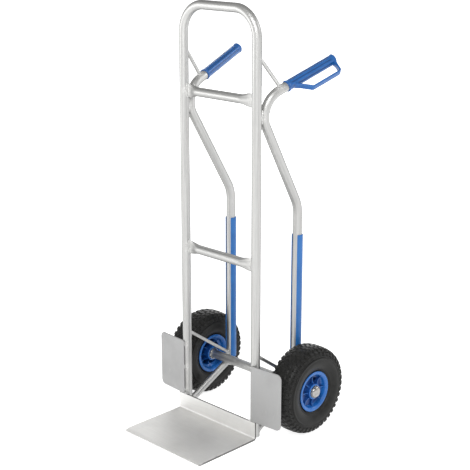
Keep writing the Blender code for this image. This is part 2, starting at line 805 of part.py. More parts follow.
def build_wheel(label, side, materials):
    centre = Vector((WHEEL_X, AXLE_Y, AXLE_Z))
    pivot = bpy.data.objects.new(f"{label}_wheel_pivot", None)
    pivot.location = Vector((side * WHEEL_X, AXLE_Y, AXLE_Z)) - ORIGIN
    bpy.context.scene.collection.objects.link(pivot)
    bpy.context.view_layer.update()
    rubber = materials["black_rubber"]
    blue = materials["blue_plastic"]
    steel = materials["zinc_steel"]

    add_piece(f"{label}_tyre", lathe(tyre_profile(), WHEEL_STEPS, centre), rubber, side, pivot)

    outer, inner = inner_tube_profiles()
    tube_shape = lathe(outer, AIR_TUBE_STEPS, centre)
    hollow_shape = lathe(inner, AIR_TUBE_STEPS, centre)
    hole_shape = radial_pin(centre, ((0.0480, TUBE_VALVE_HOLE_R), (0.0560, TUBE_VALVE_HOLE_R)))
    tube = add_piece(f"{label}_inner_tube", tube_shape, rubber, side, pivot)
    hollow = add_piece(f"{label}_inner_tube_air_form", hollow_shape, rubber, side, pivot)
    hole = add_piece(f"{label}_inner_tube_hole_form", hole_shape, rubber, side, pivot)
    add_boolean(tube, hollow, "DIFFERENCE")
    add_boolean(tube, hole, "DIFFERENCE")

    rim = add_piece(f"{label}_rim", lathe(rim_profile(), RIM_STEPS, centre), blue, side, pivot)
    ribs = add_piece(f"{label}_rim_ribs_form", ribs_shape(centre), blue, side, pivot)
    bore = radial_pin(centre, ((0.0380, VALVE_HOLE_R), (0.0600, VALVE_HOLE_R)))
    valve_hole = add_piece(f"{label}_rim_hole_form", bore, blue, side, pivot)
    window = add_piece(f"{label}_rim_window_form", valve_window_shape(centre), blue, side, pivot)
    add_boolean(rim, ribs, "UNION")
    add_boolean(rim, valve_hole, "DIFFERENCE")
    add_boolean(rim, window, "DIFFERENCE")

    stem_sections = (
        (VALVE_NECK_R, VALVE_CAP_R),
        (VALVE_NECK_R, VALVE_STEM_R),
        (VALVE_ROOT_R, VALVE_STEM_R),
    )
    cap_sections = (
        (VALVE_TIP_R, VALVE_CAP_R - 0.0006),
        (VALVE_TIP_R + 0.0008, VALVE_CAP_R),
        (VALVE_NECK_R - GAP, VALVE_CAP_R),
    )
    add_piece(f"{label}_valve_stem", radial_pin(centre, stem_sections[1:]), rubber, side, pivot)
    valve_cap = radial_pin(centre, cap_sections)
    add_piece(f"{label}_valve_cap", valve_cap, materials["black_plastic"], side, pivot)

    for place, near, far in (
        ("outer", HUB_HALF - BEARING_WIDTH, HUB_HALF - GAP),
        ("inner", -HUB_HALF + GAP, -HUB_HALF + BEARING_WIDTH),
    ):
        ring = ring_profile(near, far, BEARING_BORE_R, BEARING_R)
        shape = lathe(ring, HUB_STEPS, centre)
        add_piece(f"{label}_{place}_bearing", shape, steel, side, pivot)


def main():
    clear_scene()
    materials = make_materials()
    build_frame(materials)
    build_grips(materials)
    build_axle(materials)
    for label, side in (("left", -1), ("right", 1)):
        build_wheel(label, side, materials)


main()
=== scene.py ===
"""Looks of the aluminium hand truck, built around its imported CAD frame.

Row frame: metres, +Z up, floor at Z = 0. The toe plate points to -Y, wheels
and grips to +Y. Lengths along Y are given from the centre line of the
uprights, and the function place() puts them in the row frame. Paired pieces
are described for the +X side and mirrored for the -X side.
"""
import json
from math import atan2, ceil, copysign, cos, dist, exp, hypot, pi, radians, sin, sqrt, tan

import bpy
import bmesh
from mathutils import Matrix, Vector


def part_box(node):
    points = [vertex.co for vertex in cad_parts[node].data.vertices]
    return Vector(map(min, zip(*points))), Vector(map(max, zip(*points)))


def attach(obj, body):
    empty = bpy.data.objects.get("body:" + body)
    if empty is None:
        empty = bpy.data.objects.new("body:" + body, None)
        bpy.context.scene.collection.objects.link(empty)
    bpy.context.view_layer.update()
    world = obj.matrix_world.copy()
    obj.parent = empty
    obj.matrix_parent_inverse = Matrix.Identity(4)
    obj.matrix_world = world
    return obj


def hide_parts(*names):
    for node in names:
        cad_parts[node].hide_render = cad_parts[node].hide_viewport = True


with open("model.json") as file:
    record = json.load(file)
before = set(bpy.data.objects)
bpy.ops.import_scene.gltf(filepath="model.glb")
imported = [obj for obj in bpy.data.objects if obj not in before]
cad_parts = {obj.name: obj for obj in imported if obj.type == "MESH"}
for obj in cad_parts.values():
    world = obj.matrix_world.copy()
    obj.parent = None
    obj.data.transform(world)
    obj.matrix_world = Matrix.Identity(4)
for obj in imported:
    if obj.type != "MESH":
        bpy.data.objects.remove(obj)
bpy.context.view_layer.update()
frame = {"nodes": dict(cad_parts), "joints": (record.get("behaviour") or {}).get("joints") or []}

# Main sizes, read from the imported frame
FRAME_LOW, FRAME_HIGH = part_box("main_frame_tube")
TUBE_R = (FRAME_HIGH.y - FRAME_LOW.y) / 2
UPRIGHT_X = FRAME_HIGH.x - TUBE_R
UPRIGHT_Y = (FRAME_HIGH.y + FRAME_LOW.y) / 2
TOP_BAR_Z = FRAME_HIGH.z - TUBE_R
FOOT_Z = FRAME_LOW.z
AXLE_TUBE_LOW, AXLE_TUBE_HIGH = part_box("axle_tube")
AXLE_HALF = AXLE_TUBE_HIGH.x
AXLE_Y = (AXLE_TUBE_LOW.y + AXLE_TUBE_HIGH.y) / 2
AXLE_Z = (AXLE_TUBE_LOW.z + AXLE_TUBE_HIGH.z) / 2
WHEEL_X = max(joint["pos_m"][0] for joint in frame["joints"])
WHEEL_CENTRE = Vector((WHEEL_X, AXLE_Y, AXLE_Z))
STEM_LOW, STEM_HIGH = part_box("right_valve_stem")
STEM_CENTRE = (STEM_LOW + STEM_HIGH) / 2 - WHEEL_CENTRE
VALVE_X = STEM_CENTRE.x
VALVE_RADIAL = Vector((0, STEM_CENTRE.y, STEM_CENTRE.z)).normalized()
VALVE_ACROSS = Vector((0, VALVE_RADIAL.z, -VALVE_RADIAL.y))
RIB_COUNT = 8
WALL = 0.002
STRUT_WALL = 0.0018
GAP = 0.0003
AXLE_BORE_R = 0.0104
WASHER_BORE_R = 0.0103
CROSSBAR_HEIGHTS = {"upper_crossbar": 0.978, "lower_crossbar": 0.518}
UPWARD = (0, 0, 1)

# Handle side, from the centre line of the uprights
HANDLE_END = (0.1845, 0.2588, 1.0695)
HANDLE_TOP = (0.1475, 0.0268, 0.9827)
HANDLE_WELD = (0.144, 0.0268, 0.918)
HANDLE_KNEE = (0.1343, 0.179, 0.6572)
HANDLE_FOOT = (0.1343, 0.179, 0.095)
HANDLE_RADII = (0.07, 0.053, 0.095)
STRUT = ((0.1343, 0.179, 0.1157), (0.1414, 0.0, 0.016), 0.0103)
HANDLE_STAY = ((0.1414, 0.0, 1.1037), (0.1561, 0.0805, 1.0028), 0.005)
AXLE_STAY = ((0.1414, 0.0, 0.254), (0.1343, 0.179, 0.1285), 0.005)

# Grips: sleeve, flutes and knuckle strap
GRIP_LENGTH = 0.179
GRIP_R, GRIP_FLANGE_R, GRIP_KNOB_R = 0.0147, 0.0162, 0.016
GRIP_END_WALL = 0.003
FLUTES = 8
FLUTE_DEPTH = 0.068
FLUTE_START = (0.01, 0.016)
FLUTE_END = (GRIP_LENGTH - 0.022, GRIP_LENGTH - 0.014)
STRAP_TURN = radians(30)

# Fineness of the meshes
TUBE_SIDES = 48
RING_PITCH = 0.008
ARC_STEPS = 20
CORNER_STEPS = 3
WHEEL_STEPS = 96
TREAD_PITCHES = 42
STEPS_PER_PITCH = 14
SMOOTH_ANGLE = radians(35)
TYRE_SMOOTH_ANGLE = radians(48)


def place(point):
    return Vector((point[0], point[1] + UPRIGHT_Y, point[2]))


def evenly(start, end, count):
    """Values from start to end in count equal steps."""
    return [start + (end - start) * step / count for step in range(count + 1)]


def add_object(name, data):
    item = bpy.data.objects.new(name, data)
    bpy.context.scene.collection.objects.link(item)
    return item


def ramp(value, low, high):
    """0 up to low, 1 from high on, and a smooth rise between them."""
    t = min(1.0, max(0.0, (value - low) / (high - low)))
    return t * t * (3 - 2 * t)


# ---------------------------------------------------------------- meshes
def rounded_path(corners, radii, steps=ARC_STEPS):
    """Polyline through the corners with a circular arc at each inner one."""
    path = [Vector(corners[0])]
    for index, radius in enumerate(radii, start=1):
        corner = Vector(corners[index])
        back = (Vector(corners[index - 1]) - corner).normalized()
        ahead = (Vector(corners[index + 1]) - corner).normalized()
        half = back.angle(ahead) / 2
        centre = corner + (back + ahead).normalized() * (radius / sin(half))
        first = corner + back * (radius / tan(half)) - centre
        last = corner + ahead * (radius / tan(half)) - centre
        turn = first.angle(last)
        for step in range(steps + 1):
            share = step / steps
            weight_a = sin((1 - share) * turn) / sin(turn)
            weight_b = sin(share * turn) / sin(turn)
            path.append(centre + first * weight_a + last * weight_b)
    path.append(Vector(corners[-1]))
    return path


def finer(path, pitch=RING_PITCH):
    """Adds points so that no stretch of the path is longer than pitch."""
    result = [path[0]]
    for before, after in zip(path, path[1:]):
        count = max(1, ceil((after - before).length / pitch))
        for step in range(1, count + 1):
            result.append(before.lerp(after, step / count))
    return result


def lengths_along(path):
    """Distance from the path's start to each of its points."""
    lengths = [0.0]
    for before, after in zip(path, path[1:]):
        lengths.append(lengths[-1] + (after - before).length)
    return lengths


def circle(radius, sides=TUBE_SIDES):
    turns = [2 * pi * step / sides for step in range(sides)]
    return [(radius * cos(turn), radius * sin(turn)) for turn in turns]


def sweep(path, section, reference, closed=False):
    """Rings of (point, grain) pairs. grain is the place on the straightened bar."""
    rings = []
    travelled = 0.0
    up = Vector(reference)
    count = len(path)
    for index, point in enumerate(path):
        before = path[index - 1] if index or closed else point
        after = path[(index + 1) % count] if index < count - 1 or closed else point
        tangent = ((point - before).normalized() + (after - point).normalized()).normalized()
        up = (up - tangent * up.dot(tangent)).normalized()
        across = tangent.cross(up)
        if index:
            travelled += (point - path[index - 1]).length
        outline = section(index) if callable(section) else section
        rings.append([(point + across * a + up * b, (a, b, travelled)) for a, b in outline])
    return rings


def ring_centre(ring):
    return sum((point for point, _ in ring), Vector()) / len(ring)


def cope(ring, heading, axis_point, axis, radius):
    """Slides ring points along heading onto the near side of a cylinder."""
    axis = Vector(axis).normalized()
    heading = heading.normalized()
    flat = heading - axis * heading.dot(axis)
    moved = []
    for point, grain in ring:
        offset = point - Vector(axis_point)
        offset = offset - axis * offset.dot(axis)
        a = flat.dot(flat)
        b = offset.dot(flat)
        c = offset.dot(offset) - radius * radius
        root = (-b - sqrt(max(b * b - a * c, 0.0))) / a
        moved.append((point + heading * root, grain))
    return moved


def skin(rings, closed=False):
    sides = len(rings[0])
    points = [item for ring in rings for item in ring]
    faces = []
    for row in range(len(rings) if closed else len(rings) - 1):
        near = row * sides
        far = ((row + 1) % len(rings)) * sides
        for step in range(sides):
            after = (step + 1) % sides
            faces.append((near + step, near + after, far + after, far + step))
    return points, faces


def solid(rings):
    points, faces = skin(rings)
    sides = len(rings[0])
    faces.append(tuple(range(sides)))
    faces.append(tuple(range(len(points) - sides, len(points))))
    return points, faces


def hollow(outer, inner):
    return skin(outer + inner[::-1], closed=True)


def lathe(profile, steps=WHEEL_STEPS, centre=WHEEL_CENTRE):
    """Turns (x, r) points about the X line through centre; r = 0 ends are capped."""
    capped = profile[0][1] == 0
    body = profile[1:-1] if capped else profile
    rings = []
    for x, radius in body:
        ring = []
        for b, a in circle(radius, steps):
            ring.append((centre + Vector((x, a, b)), (x, a, b)))
        rings.append(ring)
    if not capped:
        return skin(rings, closed=True)
    points, faces = skin(rings)
    for end, row in ((0, 0), (-1, len(rings) - 1)):
        tip = len(points)
        points.append((centre + Vector((profile[end][0], 0, 0)), (profile[end][0], 0, 0)))
        for step in range(steps):
            faces.append((row * steps + step, row * steps + (step + 1) % steps, tip))
    return points, faces


def smooth_curve(points, pitch):
    """Catmull-Rom curve through 2-D points with about pitch between points."""
    result = []
    for index in range(len(points) - 1):
        p0 = points[max(index - 1, 0)]
        p1 = points[index]
        p2 = points[index + 1]
        p3 = points[min(index + 2, len(points) - 1)]
        count = max(1, round(dist(p1, p2) / pitch))
        for step in range(count):
            t = step / count
            result.append(tuple(
                0.5 * (2 * b + (c - a) * t + (2 * a - 5 * b + 4 * c - d) * t * t
                       + (3 * b - a - 3 * c + d) * t ** 3)
                for a, b, c, d in zip(p0, p1, p2, p3)
            ))
    result.append(tuple(points[-1]))
    return result


def rounded_profile(corners, radius):
    """Closed (x, r) outline with every corner rounded off."""
    result = []
    count = len(corners)
    for index, corner in enumerate(corners):
        here = Vector(corner)
        back = Vector(corners[index - 1]) - here
        ahead = Vector(corners[(index + 1) % count]) - here
        cut = min(radius, 0.45 * back.length, 0.45 * ahead.length)
        first = here + back.normalized() * cut
        last = here + ahead.normalized() * cut
        for t in evenly(0.0, 1.0, CORNER_STEPS):
            point = first * (1 - t) ** 2 + here * 2 * t * (1 - t) + last * t * t
            result.append((point.x, point.y))
    return result


# ------------------------------------------------------------- materials
class Nodes:
    """Shorthand for building the node tree of one material or world."""

    def __init__(self, name, kind="materials", shader="Principled BSDF"):
        self.owner = getattr(bpy.data, kind).new(name)
        self.owner.use_nodes = True
        self.tree = self.owner.node_tree
        self.shader = self.tree.nodes[shader]

    def feed(self, node, inputs):
        """Gives each named input a link to another node's output, or a fixed value."""
        for name, value in inputs.items():
            socket = node.inputs[name]
            if isinstance(value, bpy.types.NodeSocket):
                self.tree.links.new(value, socket)
            elif value is not None:
                socket.default_value = (*value, 1.0) if socket.type == "RGBA" else value

    def add(self, kind, inputs=None, **values):
        node = self.tree.nodes.new(kind)
        for key, value in values.items():
            setattr(node, key, value)
        self.feed(node, inputs or {})
        return node

    def attribute(self, name, output):
        return self.add("ShaderNodeAttribute", attribute_name=name).outputs[output]

    def place(self):
        return self.add("ShaderNodeTexCoord").outputs["Object"]

    def split(self, vector):
        return self.add("ShaderNodeSeparateXYZ", {"Vector": vector}).outputs

    def noise(self, vector, scale, detail=3.0, roughness=0.55):
        inputs = {"Vector": vector, "Scale": scale, "Detail": detail, "Roughness": roughness}
        return self.add("ShaderNodeTexNoise", inputs).outputs["Fac"]

    def streaks(self, vector, scale, detail=3.0, roughness=0.55):
        """Noise stretched by a different scale along each axis."""
        node = self.add("ShaderNodeVectorMath", {0: vector, 1: scale}, operation="MULTIPLY")
        return self.noise(node.outputs["Vector"], 1.0, detail, roughness)

    def ranged(self, value, low, high, to_low, to_high):
        inputs = {"Value": value, "From Min": low, "From Max": high, "To Min": to_low, "To Max": to_high}
        return self.add("ShaderNodeMapRange", inputs).outputs["Result"]

    def spread(self, value, to_low, to_high):
        """Noise value spread over a new range."""
        return self.ranged(value, 0.3, 0.7, to_low, to_high)

    def maths(self, operation, first, second):
        return self.add("ShaderNodeMath", {0: first, 1: second}, operation=operation).outputs["Value"]

    def mixed(self, factor, first, second):
        inputs = {"Factor": factor, "A": first, "B": second}
        return self.add("ShaderNodeMix", inputs, data_type="RGBA").outputs["Result"]

    def faded(self, value, low, high, first, second, most=1.0):
        """First colour at low, going towards second at high, where its share is most."""
        return self.mixed(self.ranged(value, low, high, 0.0, most), first, second)

    def bump(self, height, distance, strength=1.0, below=None):
        inputs = {"Height": height, "Distance": distance, "Strength": strength, "Normal": below}
        return self.add("ShaderNodeBump", inputs).outputs["Normal"]

    def finish(self, colour, roughness, normal=None, **fixed):
        self.feed(self.shader, {"Base Color": colour, "Roughness": roughness, "Normal": normal, **fixed})
        return self.owner


ALUMINIUM = {"Metallic": 1.0, "Specular Tint": (0.16, 0.16, 0.17)}


def tube_metal():
    """Drawn aluminium tube: lengthwise draw lines, cloudy skin, ground weld zones."""
    n = Nodes("drawn_aluminium_tube")
    grain = n.attribute("grain", "Vector")
    fine = n.streaks(grain, (900.0, 900.0, 9.0))
    broad = n.streaks(grain, (210.0, 210.0, 3.0), 2.0)
    cloud = n.noise(n.place(), 26.0, 4.0)
    lines = n.maths("ADD", n.maths("MULTIPLY", fine, 0.45), broad)
    skin_colour = n.faded(lines, 0.45, 1.0, (0.36, 0.36, 0.355), (0.6, 0.6, 0.59))
    skin_colour = n.faded(cloud, 0.42, 0.72, skin_colour, (0.47, 0.47, 0.46), 0.45)
    ground = n.attribute("ground", "Fac")
    patch = n.noise(n.place(), 190.0, 3.0, 0.6)
    edge = n.noise(n.place(), 75.0, 2.0)
    mask = n.ranged(n.maths("ADD", ground, n.maths("MULTIPLY", edge, 0.7)), 0.8, 1.25, 0.0, 1.0)
    ground_colour = n.faded(patch, 0.36, 0.66, (0.5, 0.5, 0.49), (0.7, 0.7, 0.69))
    colour = n.mixed(mask, skin_colour, ground_colour)
    rough = n.maths("ADD", n.spread(fine, 0.42, 0.52), n.maths("MULTIPLY", mask, 0.2))
    bump = n.bump(fine, 0.00006, 0.35)
    bump = n.bump(n.maths("MULTIPLY", patch, mask), 0.00022, 0.5, bump)
    return n.finish(colour, rough, bump, **ALUMINIUM)


def sheet_metal(name, grain_scale, low, high):
    """Rolled aluminium sheet with a straight grain, smudges and light scuffs."""
    n = Nodes(name)
    spot = n.place()
    fine = n.streaks(spot, grain_scale, 4.0)
    smudge = n.noise(spot, 9.0, 4.0, 0.6)
    scuff = n.streaks(spot, (60.0, 22.0, 34.0), 5.0, 0.7)
    darker = tuple(0.88 * part for part in low)
    colour = n.faded(fine, 0.3, 0.7, low, high)
    colour = n.faded(smudge, 0.45, 0.75, colour, darker, 0.5)
    colour = n.faded(scuff, 0.62, 0.8, colour, (0.7, 0.7, 0.7), 0.25)
    rough = n.maths("ADD", n.spread(fine, 0.54, 0.62), n.ranged(smudge, 0.4, 0.7, 0.0, 0.06))
    return n.finish(colour, rough, n.bump(fine, 0.00005, 0.35), **ALUMINIUM)


def painted_shade_edge_metal():
    """Sheared edge of the sheet: dull and scored, with painted shade making it dark."""
    n = Nodes("sheared_aluminium_edge_painted_shade")
    score = n.streaks(n.place(), (500.0, 500.0, 500.0))
    darker_blotch = n.noise(n.place(), 60.0, 3.0)
    colour = n.faded(score, 0.3, 0.7, (0.1, 0.1, 0.1), (0.22, 0.22, 0.215))
    # darker blotches on top of the painted shade
    colour = n.faded(darker_blotch, 0.5, 0.8, colour, (0.07, 0.068, 0.064), 0.6)
    return n.finish(colour, n.spread(score, 0.5, 0.7), n.bump(score, 0.0002, 0.4), Metallic=1.0)


def weld_metal():
    """Bright weld bead with a faint grey oxide between its ripples."""
    n = Nodes("aluminium_weld_bead")
    soot = n.noise(n.place(), 320.0, 3.0, 0.6)
    colour = n.faded(soot, 0.38, 0.66, (0.56, 0.56, 0.55), (0.8, 0.8, 0.79))
    return n.finish(colour, n.spread(soot, 0.3, 0.46), n.bump(soot, 0.0002, 0.4), Metallic=1.0)


def zinc_metal(name, low, high):
    """Bright zinc-plated steel with fine turning marks."""
    n = Nodes(name)
    fine = n.streaks(n.place(), (1400.0, 160.0, 160.0))
    colour = n.faded(n.noise(n.place(), 120.0), 0.35, 0.65, low, high)
    return n.finish(colour, n.spread(fine, 0.16, 0.27), n.bump(fine, 0.00003, 0.3), Metallic=1.0)


def flute_painted_shade(n):
    """Painted shade: up to 0.6 in the middle of each lengthwise flute of a grip sleeve, else 0."""
    grain = n.split(n.attribute("grain", "Vector"))
    turn = n.maths("ARCTAN2", grain["Z"], grain["Y"])
    wave = n.maths("SINE", n.maths("MULTIPLY", turn, FLUTES / 2), 0.0)
    groove = n.ranged(n.maths("MULTIPLY", wave, wave), 0.62, 0.98, 0.0, 0.6)
    start = n.ranged(grain["X"], *FLUTE_START, 0.0, 1.0)
    end = n.ranged(grain["X"], *FLUTE_END, 1.0, 0.0)
    return n.maths("MULTIPLY", groove, n.maths("MULTIPLY", start, end))


def moulded_blue(name, deep, light, rough_low, rough_high, speckle, fluted=False):
    """Moulded blue plastic: fine moulded texture, flow clouding, dulled patches, and painted shade in
    the flutes when fluted.
    """
    n = Nodes(name)
    spot = n.place()
    texture = n.noise(spot, speckle, 2.0)
    flow = n.noise(spot, 22.0, 3.0)
    worn = n.noise(spot, 70.0, 4.0, 0.65)
    pale = tuple(part * 1.35 + 0.02 for part in light)
    colour = n.faded(flow, 0.35, 0.7, deep, light)
    colour = n.faded(worn, 0.6, 0.8, colour, pale, 0.35)
    # painted shade: when fluted, the middle of each flute is darkened towards near-black blue
    if fluted:
        colour = n.mixed(flute_painted_shade(n), colour, (0.002, 0.012, 0.05))
    rough = n.maths("ADD", n.spread(worn, rough_low, rough_high), n.spread(texture, 0.0, 0.06))
    return n.finish(colour, rough, n.bump(texture, 0.00012, 0.35), **{"Specular IOR Level": 0.5})


def tyre_rubber():
    """Black tyre rubber: mottled, slightly dusty, with a fine mould grain."""
    n = Nodes("tyre_rubber")
    spot = n.place()
    mottle = n.noise(spot, 55.0, 4.0, 0.6)
    grain = n.noise(spot, 900.0, 2.0)
    dust = n.noise(spot, 17.0, 5.0, 0.6)
    colour = n.faded(mottle, 0.35, 0.7, (0.015, 0.015, 0.0145), (0.0215, 0.0215, 0.021))
    colour = n.faded(dust, 0.52, 0.75, colour, (0.032, 0.031, 0.028), 0.35)
    bump = n.bump(grain, 0.00018, 0.4)
    return n.finish(colour, n.spread(mottle, 0.3, 0.44), bump, **{"Specular IOR Level": 0.13})


def dark_polymer(name, base, rough_low, rough_high):
    """Nearly black rubber or plastic with a fine grain and faint clouding."""
    n = Nodes(name)
    grain = n.noise(n.place(), 700.0, 2.0)
    lighter = tuple(part * 1.7 for part in base)
    colour = n.faded(n.noise(n.place(), 90.0), 0.35, 0.7, base, lighter)
    return n.finish(colour, n.spread(grain, rough_low, rough_high), n.bump(grain, 0.0001, 0.4))


def floor_paint():
    """Pale lit floor, a little brighter away from the truck."""
    n = Nodes("pale_studio_floor")
    away = n.add("ShaderNodeVectorMath", {0: n.place()}, operation="LENGTH").outputs["Value"]
    cloud = n.noise(n.place(), 3.0)
    colour = n.faded(cloud, 0.3, 0.7, (0.49, 0.49, 0.49), (0.51, 0.51, 0.51))
    glow = {"Emission Strength": n.ranged(away, 1.2, 3.6, 0.87, 1.3), "Emission Color": (1.0, 1.0, 1.0)}
    return n.finish(colour, n.spread(cloud, 0.85, 0.95), **glow, **{"Specular IOR Level": 0.1})


TUBE_METAL = tube_metal()
PLATE_METAL = sheet_metal(
    "rolled_toe_plate_sheet", (14.0, 700.0, 700.0), (0.8, 0.795, 0.78), (0.87, 0.865, 0.85),
)
GUARD_METAL = sheet_metal(
    "rolled_guard_sheet", (700.0, 700.0, 14.0), (0.42, 0.42, 0.42), (0.46, 0.46, 0.46),
)
SHADED_EDGE_METAL = painted_shade_edge_metal()
WELD_METAL = weld_metal()
# Same zinc plating in two copies: a lighter one for washers, rod and bearings, and a darker one for the
# axle caps, whose darkness is painted shade
ZINC_METAL = zinc_metal("zinc_plated_steel", (0.56, 0.56, 0.56), (0.68, 0.68, 0.67))
CAP_SHADED_ZINC = zinc_metal("zinc_plated_cap_painted_shade", (0.32, 0.31, 0.3), (0.41, 0.4, 0.39))
GRIP_BLUE = moulded_blue(
    "grip_blue_plastic", (0.007, 0.08, 0.275), (0.012, 0.105, 0.335), 0.26, 0.36, 1500.0, fluted=True,
)
GLIDE_BLUE = moulded_blue(
    "glide_blue_plastic", (0.008, 0.098, 0.32), (0.012, 0.125, 0.38), 0.38, 0.5, 900.0,
)
RIM_BLUE = moulded_blue(
    "rim_blue_plastic", (0.01, 0.1, 0.35), (0.015, 0.125, 0.42), 0.2, 0.3, 700.0,
)
# Darker copy of the rim plastic, painted as shade in the recess between hub and flanges
RECESS_PAINTED_SHADE_BLUE = moulded_blue(
    "rim_recess_painted_shade_plastic", (0.002, 0.034, 0.165), (0.004, 0.05, 0.215), 0.3, 0.42, 700.0,
)
TYRE_BLACK = tyre_rubber()
VALVE_BLACK = dark_polymer("valve_rubber", (0.014, 0.014, 0.014), 0.55, 0.75)
CAP_BLACK = dark_polymer("valve_cap_plastic", (0.012, 0.012, 0.013), 0.35, 0.5)


# ---------------------------------------------------------------- pieces
SIDES = (("left", -1), ("right", 1))
weld_spots = []


def make(name, shape, material, body, side=1, replaced=(), sharp=SMOOTH_ANGLE):
    """One visual piece from (points with grain, faces), mirrored for side -1."""
    points, faces = shape
    mesh = bpy.data.meshes.new(name)
    mesh.from_pydata([(side * p.x, p.y, p.z) for p, _ in points], [], faces)
    work = bmesh.new()
    work.from_mesh(mesh)
    bmesh.ops.recalc_face_normals(work, faces=work.faces)
    work.to_mesh(mesh)
    work.free()
    grain = mesh.attributes.new("grain", "FLOAT_VECTOR", "POINT")
    grain.data.foreach_set("vector", [part for _, g in points for part in g])
    mesh.shade_smooth()
    mesh.set_sharp_from_angle(angle=sharp)
    mesh.materials.append(material)
    piece = add_object(name, mesh)
    if body:
        finish_piece(piece, body, replaced)
    return piece


def finish_piece(piece, body, replaced):
    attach(piece, body)
    if replaced:
        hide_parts(*replaced)


def make_skin(node, shape, material, body, side=1, **options):
    """Visual piece that takes the place of the CAD node."""
    return make(f"{node}_skin", shape, material, body, side, [node], **options)


def add_ground(piece, least):
    """Marks how near each point is to a weld, where the metal was ground bright."""
    mesh = piece.data
    layer = mesh.attributes.new("ground", "FLOAT", "POINT")
    values = []
    for vertex in mesh.vertices:
        nearest = min(dist(vertex.co, spot) - reach for spot, reach in weld_spots)
        values.append(min(1.0, max(least, 1.0 - nearest / 0.024)))
    layer.data.foreach_set("value", values)


def boolean(piece, cutter, operation):
    """Applies one exact Boolean to the piece and removes the cutter."""
    modifier = piece.modifiers.new(operation.lower(), "BOOLEAN")
    modifier.operation = operation
    modifier.solver = "EXACT"
    modifier.object = cutter
    graph = bpy.context.evaluated_depsgraph_get()
    mesh = bpy.data.meshes.new_from_object(piece.evaluated_get(graph))
    piece.modifiers.clear()
    piece.data = mesh
    bpy.data.objects.remove(cutter, do_unlink=True)
    mesh.shade_smooth()
    mesh.set_sharp_from_angle(angle=SMOOTH_ANGLE)


def bevel(piece, width):
    modifier = piece.modifiers.new("edge_rounding", "BEVEL")
    modifier.width = width
    modifier.segments = 2
    modifier.limit_method = "ANGLE"
    modifier.angle_limit = radians(50)


def tube_rings(path, radius, reference=(1, 0, 0)):
    """Outer and inner rings of a tube, with the cut ends slightly rounded."""
    shells = []
    edge = 0.0005
    for wall_radius, inset in ((radius, -edge), (radius - WALL, edge)):
        rings = sweep(path, circle(wall_radius), reference)
        for end in (0, -1):
            scale = (wall_radius + inset) / wall_radius
            centre = ring_centre(rings[end])
            rings[end] = [(centre + (p - centre) * scale, g) for p, g in rings[end]]
        shells.append(rings)
    return shells


def frame_tube():
    corners = [place(point) for point in (
        (-UPRIGHT_X, 0, FOOT_Z),
        (-UPRIGHT_X, 0, TOP_BAR_Z),
        (UPRIGHT_X, 0, TOP_BAR_Z),
        (UPRIGHT_X, 0, FOOT_Z),
    )]
    path = rounded_path(corners, (0.078, 0.078), 32)
    first, last = path[0].lerp(path[1], 0.0005), path[-1].lerp(path[-2], 0.0005)
    path = [path[0], first] + path[1:-1] + [last, path[-1]]
    return hollow(*tube_rings(finer(path), TUBE_R, (0, 1, 0)))


def handle_path():
    corners = [place(p) for p in (HANDLE_END, HANDLE_TOP, HANDLE_WELD, HANDLE_KNEE, HANDLE_FOOT)]
    return rounded_path(corners, HANDLE_RADII)


def crossbar(height):
    """Round tube whose ends are pinched flat, with a crease before the flare."""
    reach = UPRIGHT_X - TUBE_R - 0.0005
    flat, length = 0.008, 0.046
    stations = [reach, reach - flat * 0.5, reach - flat * 0.9, reach - flat]
    plain = reach - length
    stations += evenly(reach - flat, plain, 22)[1:] + evenly(plain, 0.0, 12)[1:]
    stations += [-x for x in reversed(stations[:-1])]
    shells = []
    for radius, tall, deep in ((TUBE_R, 0.0195, 0.0031), (TUBE_R - WALL, 0.0175, 0.0009)):
        rings = []
        for x in stations:
            share = min(1.0, max(0.0, (reach - flat - abs(x)) / (length - flat)))
            pinch = (1 + cos(pi * share)) / 2
            crease = 0.0007 * exp(-((abs(x) - reach + flat) / 0.0022) ** 2)
            ring = []
            for a, b in circle(1.0):
                up = b * (radius + (tall - radius) * pinch)
                out = a * (radius + (deep - radius) * pinch - crease)
                ring.append((Vector((x, UPRIGHT_Y + out, height + up)), (a * radius, b * radius, x)))
            rings.append(ring)
        shells.append(rings)
    return hollow(*shells)


def crossbar_weld(height):
    path = []
    for a, b in circle(1.0, 60):
        y = 0.0042 * a
        x = UPRIGHT_X - sqrt(TUBE_R ** 2 - y * y) - 0.0004
        path.append(place((x, y, height + 0.0198 * b)))
    return path


def toe_plate():
    """Sheet folded up into a flange, with a bevelled front lip."""
    low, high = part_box("toe_plate")
    half_width = high.x
    thick, inner_r, corner_r, lip, bevel_depth = 0.005, 0.005, 0.009, 0.0022, 0.012
    outer_r = inner_r + thick
    bend_y = high.y - outer_r
    profile = [(low.y + 0.0004, 0.0)]
    profile += [(y, 0.0) for y in evenly(low.y, bend_y, 30)[1:]]
    turns = evenly(0.0, pi / 2, 14)
    profile += [(bend_y + outer_r * sin(t), outer_r * (1 - cos(t))) for t in turns[1:]]
    profile += [(high.y, z) for z in evenly(outer_r, high.z, 6)[1:]]
    profile += [(high.y - thick, z) for z in evenly(high.z, outer_r, 6)[:-1]]
    profile += [(bend_y + inner_r * sin(t), outer_r - inner_r * cos(t)) for t in turns[::-1]]
    profile += [(y, thick) for y in evenly(bend_y, low.y + bevel_depth, 28)[1:]]
    profile += [(low.y + 0.0006, lip + 0.0003), (low.y, lip - 0.0004), (low.y, 0.0005)]
    columns = []
    for turn in evenly(0.0, pi / 2, 10):
        columns.append((half_width - corner_r * (1 - cos(turn)), corner_r * (1 - sin(turn))))
    columns += [(x, 0.0) for x in evenly(half_width - corner_r, 0.0, 12)[1:]]
    columns += [(-x, inset) for x, inset in reversed(columns[:-1])]
    rings = []
    for x, inset in columns:
        ring = []
        for y, z in profile:
            share = max((y - bend_y) / (low.y - bend_y), 0.0)
            ring.append((Vector((x, y + inset * share, z)), (x, y, z)))
        rings.append(ring)
    return solid(rings)


